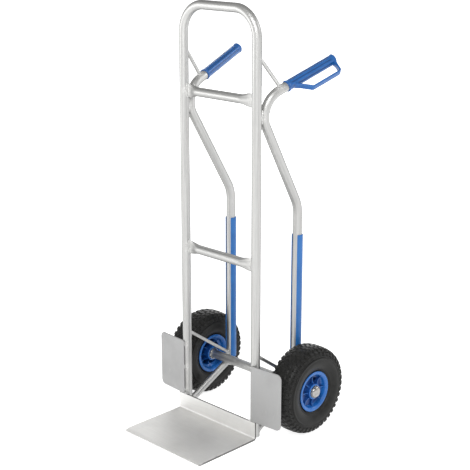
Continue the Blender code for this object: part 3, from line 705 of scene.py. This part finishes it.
def guard_plate():
    """Flat plate with rounded outer corners, toed back outwards."""
    low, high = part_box("right_wheel_guard")
    tilt, thick = radians(4.0), 0.004
    width = (high.x - low.x) / cos(tilt)
    back_y = low.y + thick
    centres = (
        (width - 0.015, low.z + 0.015, -pi / 2, 0.015),
        (width - 0.015, high.z - 0.015, 0.0, 0.015),
        (0.003, high.z - 0.003, pi / 2, 0.003),
        (0.003, low.z + 0.003, pi, 0.003),
    )
    outline = []
    for across, z, start, radius in centres:
        for turn in evenly(start, start + pi / 2, 12):
            outline.append((across + radius * cos(turn), z + radius * sin(turn)))
    rings = []
    for depth in (0.0, -thick):
        ring = []
        for across, z in outline:
            spot = Vector((low.x + across * cos(tilt), back_y + depth + across * sin(tilt), z))
            ring.append((spot, (across, depth, z)))
        rings.append(ring)
    return solid(rings)


def ring_clear(ring, first, last):
    """True if the ring lies well clear of both seats at the bar's ends."""
    middle = ring_centre(ring)
    keep = TUBE_R + 0.016
    return min(hypot(middle.x - e.x, middle.y - e.y) for e in (first, last)) > keep


def coped_rings(spec, radius, sides, last_axis=UPWARD):
    """Rings of a straight bar, its ends coped to the tubes that it joins."""
    start, end = place(spec[0]), place(spec[1])
    heading = end - start
    rings = sweep(finer([start, end]), circle(radius, sides), (1, 0, 0))
    first = cope(rings[0], -heading, start, UPWARD, TUBE_R + GAP)
    last = cope(rings[-1], heading, end, last_axis, TUBE_R + GAP)
    body = [ring for ring in rings if ring_clear(ring, start, end)]
    return [first] + body + [last]


def strut_shape():
    """Foot strut: a tube from the rear tube down to the upright's foot."""
    radius = STRUT[2]
    return hollow(coped_rings(STRUT, radius, 40), coped_rings(STRUT, radius - STRUT_WALL, 40))


def stay_shape(spec, lower_axis):
    return solid(coped_rings(spec, spec[2], 28, lower_axis))


def seat_path(spec, end, axis, extra):
    """Loop round a bar's end where it meets the tube it is welded to."""
    start, finish = place(spec[1 - end]), place(spec[end])
    ring = sweep([start, finish], circle(spec[2] + extra, 56), (1, 0, 0))[1]
    return [p for p, _ in cope(ring, finish - start, finish, axis, TUBE_R + extra)]


def bead(path, radius, closed):
    """Weld bead of overlapping ripples along the path."""
    pitch = 0.0021
    if closed:
        path = path + [path[0]]
    path = finer(path, pitch / 5)
    if closed:
        path = path[:-1]
    lengths = lengths_along(path)
    total = lengths[-1]

    def outline(index):
        at = lengths[index]
        ripple = 1.0 - ((at / pitch) % 1.0) ** 2
        swell = 0.06 * sin(at * 900.0) + 0.05 * sin(at * 2300.0 + 1.3)
        size = radius * (0.84 + 0.16 * ripple + swell)
        if not closed:
            ends = min(at, total - at) / (radius * 1.2)
            size *= sqrt(max(0.05, 1.0 - max(0.0, 1.0 - ends) ** 2))
        return circle(size, 12)

    rings = sweep(path, outline, (0.31, 0.22, 0.92), closed)
    return skin(rings, closed=True) if closed else solid(rings)


def merged(shapes):
    points, faces = [], []
    for shape_points, shape_faces in shapes:
        base = len(points)
        points += shape_points
        faces += [tuple(base + corner for corner in face) for face in shape_faces]
    return points, faces


def weld_paths():
    """All welds of the +X side, as (path, bead radius, closed)."""
    handle_axis = place(HANDLE_END) - place(HANDLE_TOP)
    loops = [
        (seat_path(HANDLE_STAY, 0, UPWARD, 0.0003), 0.0013),
        (seat_path(HANDLE_STAY, 1, handle_axis, 0.0003), 0.0013),
        (seat_path(AXLE_STAY, 0, UPWARD, 0.0003), 0.0013),
        (seat_path(AXLE_STAY, 1, UPWARD, 0.0003), 0.0014),
        (seat_path(STRUT, 0, UPWARD, 0.0002), 0.0018),
        (seat_path(STRUT, 1, UPWARD, 0.0002), 0.0016),
    ]
    loops += [(crossbar_weld(height), 0.0015) for height in CROSSBAR_HEIGHTS.values()]
    guard_x, guard_y = 0.1392, -0.0146
    notch_y = 0.0134
    runs = (
        ((guard_x, guard_y, 0.06), (guard_x, guard_y, 0.072), 0.0014),
        ((guard_x, guard_y, 0.134), (guard_x, guard_y, 0.146), 0.0014),
        ((guard_x, guard_y, 0.208), (guard_x, guard_y, 0.221), 0.0014),
        ((0.129, -0.015, 0.0545), (0.156, -0.015, 0.0545), 0.0023),
        ((0.1376, notch_y, 0.914), (0.1384, notch_y, 0.954), 0.0027),
        ((0.1478, notch_y, 0.914), (0.1486, notch_y, 0.954), 0.0027),
        ((0.1306, 0.154, 0.13), (0.1306, 0.165, 0.13), 0.0022),
        ((0.138, 0.154, 0.13), (0.138, 0.165, 0.13), 0.0022),
        ((0.129, 0.1525, 0.1345), (0.1396, 0.1525, 0.1345), 0.0028),
        ((0.13, 0.158, 0.134), (0.1386, 0.158, 0.134), 0.003),
        ((0.129, 0.1632, 0.1338), (0.1396, 0.1632, 0.1338), 0.003),
    )
    paths = [(path, radius, True) for path, radius in loops]
    return paths + [([place(start), place(end)], radius, False) for start, end, radius in runs]


def note_weld_spots(paths):
    """Keeps each weld's middle and reach, on both sides, for add_ground."""
    for path, _, closed in paths:
        spot = sum(path, Vector()) / len(path)
        reach = 0.008 if closed else 0.004
        weld_spots.append((spot, reach))
        weld_spots.append((Vector((-spot.x, spot.y, spot.z)), reach))


def gusset_shape():
    """Small plate that carries the axle tube in front of the rear tube."""
    low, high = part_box("right_axle_gusset")
    seat = TUBE_R + GAP
    rear = place(HANDLE_KNEE)
    heights = evenly(low.z, high.z, 8)
    rings = []
    for x in evenly(low.x, high.x, 8):
        rear_y = rear.y - sqrt(seat ** 2 - (x - rear.x) ** 2)
        spots = [(x, AXLE_Y + sqrt(seat ** 2 - (z - AXLE_Z) ** 2), z) for z in heights]
        spots += [(x, rear_y, z) for z in heights[::-1]]
        rings.append([(Vector(spot), spot) for spot in spots])
    return solid(rings)


def glide_shape():
    """C-shaped plastic channel over the back of the rear tube."""
    low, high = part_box("right_stair_glide")
    x, y, _ = place(HANDLE_KNEE)
    inner, wall = TUBE_R + GAP, 0.0028
    opening = radians(47)
    path = finer([Vector((x, y, low.z)), Vector((x, y, high.z))], 0.02)
    path[1:1] = [path[0] + Vector((0, 0, step)) for step in (0.0004, 0.0011)]
    path[-1:-1] = [path[-1] - Vector((0, 0, step)) for step in (0.0011, 0.0004)]
    turns = [opening + share * 2 * (pi - opening) for share in evenly(0.0, 1.0, 40)]

    def arc(radius, order):
        return [(radius * sin(turn), radius * cos(turn)) for turn in turns[::order]]

    def lip(outer, edge, sign):
        """Half-round edge of the channel, from one face to the other."""
        middle, half = (outer + inner) / 2, (outer - inner) / 2
        points = []
        for step in range(1, 8):
            bulge = pi * step / 8
            radius = middle + half * cos(bulge) * sign
            turn = edge + sign * half * sin(bulge) / middle
            points.append((radius * sin(turn), radius * cos(turn)))
        return points

    def outline(index):
        from_end = min(index, len(path) - 1 - index)
        outer = inner + wall - (0.0011, 0.0003)[from_end] if from_end < 2 else inner + wall
        far_lip = lip(outer, 2 * pi - opening, 1)
        return arc(outer, 1) + far_lip + arc(inner, -1) + lip(outer, opening, -1)

    return solid(sweep(path, outline, (0, -1, 0)))


# ----------------------------------------------------------------- grips
def grip_axes():
    """Grip origin, axis direction, strap direction and strap normal."""
    end = place(HANDLE_END)
    axis = (end - place(HANDLE_TOP)).normalized()
    outward = (Vector((1, 0, 0)) - axis * axis.x).normalized()
    upward = outward.cross(axis)
    strap = outward * cos(STRAP_TURN) - upward * sin(STRAP_TURN)
    start = end + axis * (GRIP_END_WALL + GAP) - axis * GRIP_LENGTH
    return start, axis, strap, axis.cross(strap)


def grip_sleeve():
    """Closed-end sleeve: rounded knob, long fluted body, flange."""
    start, axis, strap, normal = grip_axes()
    knob = (
        (0.0, 0.0), (0.0001, 0.005), (0.0006, 0.0098), (0.0016, 0.013), (0.0032, 0.0151),
        (0.0052, GRIP_KNOB_R), (0.0072, 0.0156), (0.009, 0.015), (0.012, GRIP_R),
    )
    outer = [(GRIP_LENGTH - inset, radius) for inset, radius in knob]
    for step, x in enumerate(evenly(GRIP_LENGTH - 0.012, 0.008, 40)[1:-1], start=1):
        outer.append((x, GRIP_R + 0.00012 * cos(2 * pi * step / 13)))
    bore_end = GRIP_LENGTH - GRIP_END_WALL
    outer += [
        (0.008, GRIP_R), (0.0062, 0.0149), (0.0052, 0.0156), (0.0042, GRIP_FLANGE_R),
        (0.0014, GRIP_FLANGE_R), (0.0006, GRIP_FLANGE_R - 0.0004), (0.0, GRIP_FLANGE_R - 0.0012),
        (0.0, TUBE_R + GAP), (bore_end, TUBE_R + GAP), (bore_end, 0.0),
    ]
    points, faces = lathe(outer, 120, Vector((0, 0, 0)))
    placed = []
    for point, grain in points:
        size = 1.0
        if hypot(point.y, point.z) > GRIP_R - 0.0005 and FLUTE_START[0] < point.x < FLUTE_END[1]:
            fade = ramp(point.x, *FLUTE_START) * (1.0 - ramp(point.x, *FLUTE_END))
            turn = atan2(point.z, point.y)
            size = 1.0 - FLUTE_DEPTH * fade * sin(turn * FLUTES / 2) ** 4
        placed.append((start + axis * point.x + (strap * point.y + normal * point.z) * size, grain))
    return placed, faces


def grip_strap():
    """Knuckle guard: a flat band that flares where it joins the sleeve."""
    start, axis, strap, normal = grip_axes()
    offset = 0.047
    corners = (
        start + axis * 0.0145,
        start + axis * 0.0585 + strap * offset,
        start + axis * 0.1605 + strap * offset,
        start + axis * 0.1735,
    )
    path = finer(rounded_path(corners, (0.009, 0.009), 10), 0.003)
    lengths = lengths_along(path)

    def outline(index):
        at = min(lengths[index], lengths[-1] - lengths[index])
        flare = exp(-(max(at - 0.0143, 0.0) / 0.0045) ** 2)
        half_width = 0.0088 + 0.0014 * flare
        half_thick = 0.0028 + 0.0021 * flare
        section = []
        for step in range(32):
            turn = 2 * pi * step / 32
            c, s = cos(turn), sin(turn)
            section.append((
                half_thick * copysign(abs(c) ** 0.55, c),
                half_width * copysign(abs(s) ** 0.45, s),
            ))
        return section

    rings = sweep(path, outline, normal)
    seat_r, clear_r = 0.0141, 0.0205
    rings[0] = cope(rings[0], path[0] - path[1], start, axis, seat_r)
    rings[-1] = cope(rings[-1], path[-1] - path[-2], start, axis, seat_r)
    keep = [rings[0]]
    for ring in rings[1:-1]:
        out = ring_centre(ring) - start
        if (out - axis * out.dot(axis)).length > clear_r:
            keep.append(ring)
    return solid(keep + [rings[-1]])


# ---------------------------------------------------------------- wheels
def block(value, centre, half, soft):
    """1 inside centre +- half, falling to 0 over soft outside it."""
    return 1.0 - ramp(abs(value - centre), half, half + soft)


def tread(along, phase):
    """Height from 0 in a groove to 1 on a block; along is metres from the crown."""
    side = 1 if along >= 0 else -1
    out = abs(along)
    soft = 0.055

    def row(low, high, shift, half):
        edge = 0.0009
        across = ramp(out, low - edge, low) * (1.0 - ramp(out, high, high + edge))
        local = (phase + shift) % 1.0
        return across * block(local, 0.5, half, soft)

    stagger = 0.25 * side
    centre = row(-0.01, 0.0058, 0.1 + 26.0 * along, 0.3)
    middle = row(0.0086, 0.0172, 0.5 + stagger + 20.0 * out, 0.29)
    outer = row(0.02, 0.029, stagger + 20.0 * out, 0.28)
    shoulder = row(0.0318, 0.042, 0.5 + stagger - 6.0 * out, 0.26)
    stub = row(0.0442, 0.0528, 0.5 + stagger - 6.0 * out, 0.23)
    bridge = 0.4 * row(0.0165, 0.0205, 0.25 + stagger, 0.1)
    return max(centre, middle, outer, shoulder, stub, bridge)


def tyre_shape():
    """Air-filled tyre with block tread, ringed sidewalls and a bead."""
    outer = smooth_curve([
        (0.0000, 0.13), (0.01, 0.1299), (0.02, 0.129), (0.0285, 0.1272), (0.0345, 0.1243),
        (0.0388, 0.12), (0.0417, 0.1145), (0.0434, 0.109), (0.044, 0.104),
    ], 0.0012)
    wall = smooth_curve([
        (0.044, 0.104), (0.0454, 0.099), (0.046, 0.0925), (0.0455, 0.086), (0.0438, 0.0795),
        (0.041, 0.0735), (0.0376, 0.0685), (0.0345, 0.0645), (0.0322, 0.0608),
    ], 0.0013)
    inside = [
        (0.0314, 0.059), (0.0312, 0.0514), (0.03, 0.0512), (0.0214, 0.0512), (0.025, 0.06),
        (0.0345, 0.0735), (0.0395, 0.09), (0.038, 0.106), (0.03, 0.118),
    ]
    half = outer[1:] + wall[1:] + inside
    profile = [outer[0]] + half + [(0.0, 0.123)] + [(-x, r) for x, r in reversed(half)]
    count = len(profile)
    crown = len(outer) + len(wall) - 1
    along = [0.0] * count
    for index in range(1, crown):
        along[index] = along[index - 1] + dist(profile[index], profile[index - 1])
        along[count - index] = -along[index]
    shown = set(range(crown)) | set(range(count - crown + 1, count))
    steps = TREAD_PITCHES * STEPS_PER_PITCH
    rings = []
    for index, (x, radius) in enumerate(profile):
        before, after = profile[index - 1], profile[(index + 1) % count]
        normal = Vector((after[1] - before[1], before[0] - after[0])).normalized()
        if normal.dot(Vector((x, radius - 0.09))) < 0:
            normal = -normal
        here = along[index]
        out = abs(here)
        depth = 0.0023 + 0.0011 * ramp(out, 0.026, 0.034) - 0.0006 * ramp(out, 0.042, 0.052)
        depth *= 1.0 - ramp(out, 0.0535, 0.056)
        groove = 0.0016 * block(out, 0.0578, 0.0008, 0.0012)
        groove -= 0.0014 * block(out, 0.0618, 0.0009, 0.0016)
        groove -= 0.001 * block(out, 0.096, 0.0012, 0.0014)
        ring = []
        for step in range(steps):
            turn = 2 * pi * step / steps
            sink = 0.0
            if index in shown:
                sink = groove
                if depth > 0.0:
                    sink += depth * (1.0 - tread(here, step / STEPS_PER_PITCH))
            px = x - normal.x * sink
            pr = radius - normal.y * sink
            spot = WHEEL_CENTRE + Vector((px, pr * sin(turn), pr * cos(turn)))
            ring.append((spot, (x, radius, turn)))
        rings.append(ring)
    return skin(rings, closed=True)


def rim_shape():
    """Well, bead seats and rounded flanges, with the web near the outer face."""
    outside = [
        (0.018, 0.0455), (0.0208, 0.0496), (0.0312, 0.0507), (0.0321, 0.058), (0.0336, 0.06),
        (0.0354, 0.0605), (0.0368, 0.0592), (0.0369, 0.0562), (0.0361, 0.053), (0.0344, 0.0504),
        (0.0326, 0.049), (0.0225, 0.0474),
    ]
    middle = [
        (0.0205, 0.045), (0.0205, 0.0237), (0.0345, 0.0229), (0.0365, 0.0222), (0.0365, 0.0178),
        (-0.0365, 0.0178), (-0.0365, 0.0222), (-0.0345, 0.0229), (0.0165, 0.0237), (0.0165, 0.0415),
        (-0.018, 0.0415),
    ]
    profile = outside + middle + [(-x, r) for x, r in reversed(outside)]
    return lathe(rounded_profile(profile, 0.0011))


def rim_ribs():
    """Thin radial ribs on both faces of the web, cut low between hub and rim."""
    outer_face = [
        (0.018, 0.0215), (0.033, 0.0215), (0.03, 0.025), (0.0275, 0.03), (0.0265, 0.035),
        (0.027, 0.04), (0.0288, 0.0445), (0.0302, 0.0492), (0.0225, 0.0486), (0.02, 0.047),
        (0.018, 0.0435),
    ]
    inner_face = [
        (0.0185, 0.0215), (-0.03, 0.0215), (-0.024, 0.025), (-0.0165, 0.03), (-0.014, 0.035),
        (-0.0165, 0.04), (-0.0225, 0.044), (-0.0265, 0.0488), (-0.0225, 0.0484), (-0.0185, 0.0435),
        (0.0185, 0.0435),
    ]
    outlines = ((rounded_profile(outer_face, 0.003), 1), (rounded_profile(inner_face, 0.003), -1))
    shapes = []
    for index in range(RIB_COUNT):
        turn = 2 * pi * index / RIB_COUNT
        radial = Vector((0, cos(turn), sin(turn)))
        across = Vector((0, -sin(turn), cos(turn)))
        for outline, face in outlines:
            rings = []
            for shift, shrink in ((-0.001, 0.0003), (-0.0007, 0.0), (0.0007, 0.0), (0.001, 0.0003)):
                ring = []
                for x, radius in outline:
                    free = face * x > 0.0185 - 0.006 * (1 - face)
                    top = x - face * shrink if free else x
                    spot = WHEEL_CENTRE + Vector((top, 0, 0)) + radial * radius + across * shift
                    ring.append((spot, (x, radius, shift)))
                rings.append(ring)
            shapes.append(solid(rings))
    return merged(shapes)


def paint_recess_shade(rim, side):
    """Painted shade: darker plastic on the faces between hub and flanges; the rib tops keep the lighter
    one.
    """
    rim.data.materials.append(RECESS_PAINTED_SHADE_BLUE)
    for face in rim.data.polygons:
        spot = rim.matrix_world @ face.center - Vector((side * WHEEL_X, AXLE_Y, AXLE_Z))
        radius = hypot(spot.y, spot.z)
        inside = 0.0215 < radius < 0.0472 and abs(spot.x) < 0.0345
        rib_top = abs(face.normal.x) > 0.35 and not 0.016 < side * spot.x < 0.021 and radius > 0.024
        if inside and not rib_top:
            face.material_index = 1


def valve_window():
    """Block that cuts the opening in the web for the valve."""
    corners = ((-0.007, 0.025), (0.007, 0.025), (0.0125, 0.0392), (-0.0125, 0.0392))
    rings = []
    for x in (0.015, 0.022):
        base = WHEEL_CENTRE + Vector((x, 0, 0))
        spots = [base + VALVE_ACROSS * shift + VALVE_RADIAL * r for shift, r in corners]
        rings.append([(spot, (x, *corner)) for spot, corner in zip(spots, corners)])
    return solid(rings)


def radial_pin(sections, sides=32, ribs=0, relief=0.0):
    """Stepped pin standing radially from the axle line, for the valve."""
    rings = []
    for height, radius in sections:
        ring = []
        for step in range(sides):
            turn = 2 * pi * step / sides
            size = radius - (relief * (0.5 + 0.5 * cos(turn * ribs)) if ribs else 0.0)
            spot = Vector((VALVE_X + size * cos(turn), 0, 0))
            spot += VALVE_ACROSS * (size * sin(turn)) + VALVE_RADIAL * height
            ring.append((WHEEL_CENTRE + spot, (size, turn, height)))
        rings.append(ring)
    return solid(rings)


def collar(near, far, bore, radius, edge=0.0006):
    return lathe(rounded_profile([(near, bore), (far, bore), (far, radius), (near, radius)], edge), 72)


def bearing_rings(near, far):
    """Outer and inner ring of one ball bearing."""
    return merged((
        collar(near, far, 0.0152, 0.0175, 0.0005),
        collar(near, far, WASHER_BORE_R, 0.0126, 0.0005),
    ))


def bearing_seal(near, far):
    """Shield between the two rings, set a little way in from their faces."""
    inset = 0.0012
    return collar(near + inset, far - inset, 0.0127, 0.0151, 0.0002)


def cap_shape():
    """Domed cap with a small rim and a blind bore."""
    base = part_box("right_axle_cap")[0].x - WHEEL_X
    outer = [(0.0, 0.0108), (0.0, 0.0183), (0.0007, 0.0184), (0.0013, 0.0182), (0.0016, 0.0174)]
    for turn in evenly(0.0, pi / 2, 14)[:-1]:
        outer.append((0.0018 + 0.0074 * sin(turn), 0.0169 * cos(turn) ** 0.8))
    bore = [(0.0046, 0.0108), (0.0079, 0.004), (0.008, 0.0)]
    profile = [(0.0092, 0.0)] + outer[::-1] + bore
    return lathe([(base + x, r) for x, r in profile], 72)


def washer_shape(node, edge):
    """Washer as wide and thick as its CAD node, with rounded edges."""
    low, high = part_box(node)
    return collar(low.x - WHEEL_X, high.x - WHEEL_X, WASHER_BORE_R, (high.z - low.z) / 2, edge)


# ----------------------------------------------------------------- build
def axle_tube():
    """Cross tube of the frame, bored for the axle rod."""
    ends = [Vector((side * AXLE_HALF, AXLE_Y, AXLE_Z)) for _, side in SIDES]
    outer, inner = tube_rings(finer(ends), TUBE_R, UPWARD)

    def bored(point):
        middle = Vector((point.x, AXLE_Y, AXLE_Z))
        return middle + (point - middle).normalized() * AXLE_BORE_R

    return hollow(outer, [[(bored(point), grain) for point, grain in ring] for ring in inner])


def build_toe_plate():
    plate = make_skin("toe_plate", toe_plate(), PLATE_METAL, "frame")
    # painted shade: the side edges and the flange's top edge get the dark edge material
    plate.data.materials.append(SHADED_EDGE_METAL)
    for face in plate.data.polygons:
        side_edge = abs(face.normal.x) > 0.5
        top_edge = face.normal.z > 0.9 and face.center.z > 0.05
        face.material_index = int(side_edge or top_edge)
    bevel(plate, 0.0005)


def build_tubes():
    """Tubes, stays and gussets, with the metal ground bright near the welds."""
    made = [make_skin("main_frame_tube", frame_tube(), TUBE_METAL, "frame")]
    for node, height in CROSSBAR_HEIGHTS.items():
        made.append(make_skin(node, crossbar(height), TUBE_METAL, "frame"))
    made.append(make_skin("axle_tube", axle_tube(), TUBE_METAL, "frame"))
    pieces = {
        "handle_tube": hollow(*tube_rings(finer(handle_path()), TUBE_R)),
        "foot_strut": strut_shape(),
        "handle_stay": stay_shape(HANDLE_STAY, place(HANDLE_END) - place(HANDLE_TOP)),
        "axle_stay": stay_shape(AXLE_STAY, UPWARD),
        "axle_gusset": gusset_shape(),
    }
    for label, side in SIDES:
        for name, shape in pieces.items():
            made.append(make_skin(f"{label}_{name}", shape, TUBE_METAL, "frame", side))
    for piece in made:
        brushed = "foot_strut" in piece.name or "axle_tube" in piece.name
        add_ground(piece, 0.55 if brushed else 0.0)


def build_frame_fittings(welds):
    """Wheel guards, weld beads and stair glides."""
    for label, side in SIDES:
        guard = make_skin(f"{label}_wheel_guard", guard_plate(), GUARD_METAL, "frame", side)
        bevel(guard, 0.0006)
        make(f"{label}_weld_beads", welds, WELD_METAL, "frame", side)
        make_skin(f"{label}_stair_glide", glide_shape(), GLIDE_BLUE, "frame", side)


def grip_grain(grip, side):
    """Grain of a grip, cleared by the Boolean: place along and around the sleeve."""
    start, axis, strap, normal = grip_axes()
    values = []
    for vertex in grip.data.vertices:
        offset = Vector((side * vertex.co.x, vertex.co.y, vertex.co.z)) - start
        a, b = offset.dot(strap), offset.dot(normal)
        on_sleeve = hypot(a, b) < GRIP_R + 0.0006
        values += [offset.dot(axis) if on_sleeve else -1.0, a, b]
    grip.data.attributes["grain"].data.foreach_set("vector", values)


def build_grips():
    for label, side in SIDES:
        grip = make(f"{label}_grip_skin", grip_sleeve(), GRIP_BLUE, None, side)
        strap = make(f"{label}_grip_strap", grip_strap(), GRIP_BLUE, None, side)
        boolean(grip, strap, "UNION")
        grip_grain(grip, side)
        finish_piece(grip, "frame", [f"{label}_grip"])


def build_axle_ends():
    for label, side in SIDES:
        for name, edge in (("inner_washer", 0.0006), ("outer_washer", 0.0004)):
            make_skin(f"{label}_{name}", washer_shape(f"right_{name}", edge), ZINC_METAL, "frame", side)
        make_skin(f"{label}_axle_cap", cap_shape(), CAP_SHADED_ZINC, "frame", side)
    frame["nodes"]["axle_rod"].data.materials[0] = ZINC_METAL


def build_rim(label, side):
    """Rim with its ribs joined on and the valve's hole and window cut out."""
    rim = make(f"{label}_rim_skin", rim_shape(), RIM_BLUE, None, side)
    valve_hole = radial_pin(((0.038, 0.0046), (0.06, 0.0046)))
    steps = (
        ("ribs", rim_ribs(), "UNION"),
        ("valve_hole", valve_hole, "DIFFERENCE"),
        ("window", valve_window(), "DIFFERENCE"),
    )
    for name, shape, operation in steps:
        boolean(rim, make(name, shape, RIM_BLUE, None, side), operation)
    finish_piece(rim, f"{label}_wheel", [f"{label}_rim"])
    paint_recess_shade(rim, side)


def build_valve(label, side):
    stem = ((0.035, 0.003), (0.0354, 0.0034), (0.04, 0.0036), (0.0405, 0.0041), (0.047, 0.0041))
    cap = (
        (0.027, 0.0022), (0.0272, 0.0028), (0.0278, 0.0033),
        (0.0284, 0.0034), (0.0343, 0.0034), (0.0347, 0.0032),
    )
    body = f"{label}_wheel"
    make_skin(f"{label}_valve_stem", radial_pin(stem), VALVE_BLACK, body, side)
    cap_shell = radial_pin(cap, 48, 12, 0.0003)
    make_skin(f"{label}_valve_cap", cap_shell, CAP_BLACK, body, side)


def build_bearings(label, side):
    body = f"{label}_wheel"
    for name, span in (("outer", (0.0245, 0.0362)), ("inner", (-0.0362, -0.0245))):
        node = f"{label}_{name}_bearing"
        make(f"{node}_rings", bearing_rings(*span), ZINC_METAL, body, side, [node])
        make(f"{node}_seal", bearing_seal(*span), CAP_BLACK, body, side)


def build_wheels():
    tyre = tyre_shape()
    for label, side in SIDES:
        body = f"{label}_wheel"
        make_skin(f"{label}_tyre", tyre, TYRE_BLACK, body, side, sharp=TYRE_SMOOTH_ANGLE)
        build_rim(label, side)
        build_valve(label, side)
        build_bearings(label, side)
        frame["nodes"][f"{label}_inner_tube"].data.materials[0] = VALVE_BLACK


def build_floor():
    half = 45.0
    corners = [(x * half, y * half, 0) for x, y in ((-1, -1), (1, -1), (1, 1), (-1, 1))]
    mesh = bpy.data.meshes.new("studio_floor")
    mesh.from_pydata(corners, [], [(0, 1, 2, 3)])
    mesh.materials.append(floor_paint())
    floor = add_object("studio_floor", mesh)
    floor.location.z = -0.0005


def build_world():
    """Soft surrounding light, brightest at the horizon and dimmer overhead."""
    n = Nodes("studio", "worlds", "Background")
    height = n.split(n.add("ShaderNodeTexCoord").outputs["Generated"])["Z"]
    n.feed(n.shader, {"Strength": n.ranged(height, 0.0, 0.62, 0.95, 0.46), "Color": (1.0, 1.0, 0.99)})
    bpy.context.scene.world = n.owner


def build_lights():
    """Square softboxes: name, place, aim, width in metres, power in watts."""
    softboxes = (
        ("key_softbox", (2.6, -3.0, 3.4), (0.2, -0.2, 0.5), 1.8, 80.0),
        ("left_softbox", (-2.7, -3.0, 1.2), (0.0, 0.0, 0.6), 1.4, 30.0),
        ("front_floor_softbox", (1.5, -1.7, 2.6), (1.4, -1.6, 0.0), 1.4, 30.0),
        ("back_softbox", (-4.5, 3.9, 1.8), (0.0, 0.0, 0.1), 4.4, 120.0),
        ("right_softbox", (3.2, 4.3, 3.6), (0.2, 0.1, 0.2), 1.8, 75.0),
    )
    for name, where, aim, width, power in softboxes:
        light = bpy.data.lights.new(name, "AREA")
        light.shape = "SQUARE"
        light.size = width
        light.energy = power
        lamp = add_object(name, light)
        lamp.location = where
        lamp.visible_camera = False
        lamp.rotation_euler = (Vector(aim) - Vector(where)).to_track_quat("-Z", "Y").to_euler()


def build_camera():
    """Camera in front and to the right of the truck, looking down at it."""
    azimuth, elevation = radians(44.635), radians(16.206)
    data = bpy.data.cameras.new("studio_camera")
    data.sensor_width = 36.0
    data.lens = 87.453
    data.clip_end = 200.0
    camera = add_object("studio_camera", data)
    camera.location = place((2.216, -2.1837, 1.4836))
    camera.rotation_euler = (pi / 2 - elevation, 0.0, azimuth)
    bpy.context.scene.camera = camera


side_welds = weld_paths()
note_weld_spots(side_welds)
build_tubes()
build_toe_plate()
build_frame_fittings(merged(bead(path, radius, closed) for path, radius, closed in side_welds))
build_grips()
build_axle_ends()
build_wheels()
build_floor()
build_world()
build_lights()
build_camera()
bpy.context.scene.view_settings.view_transform = "Standard"
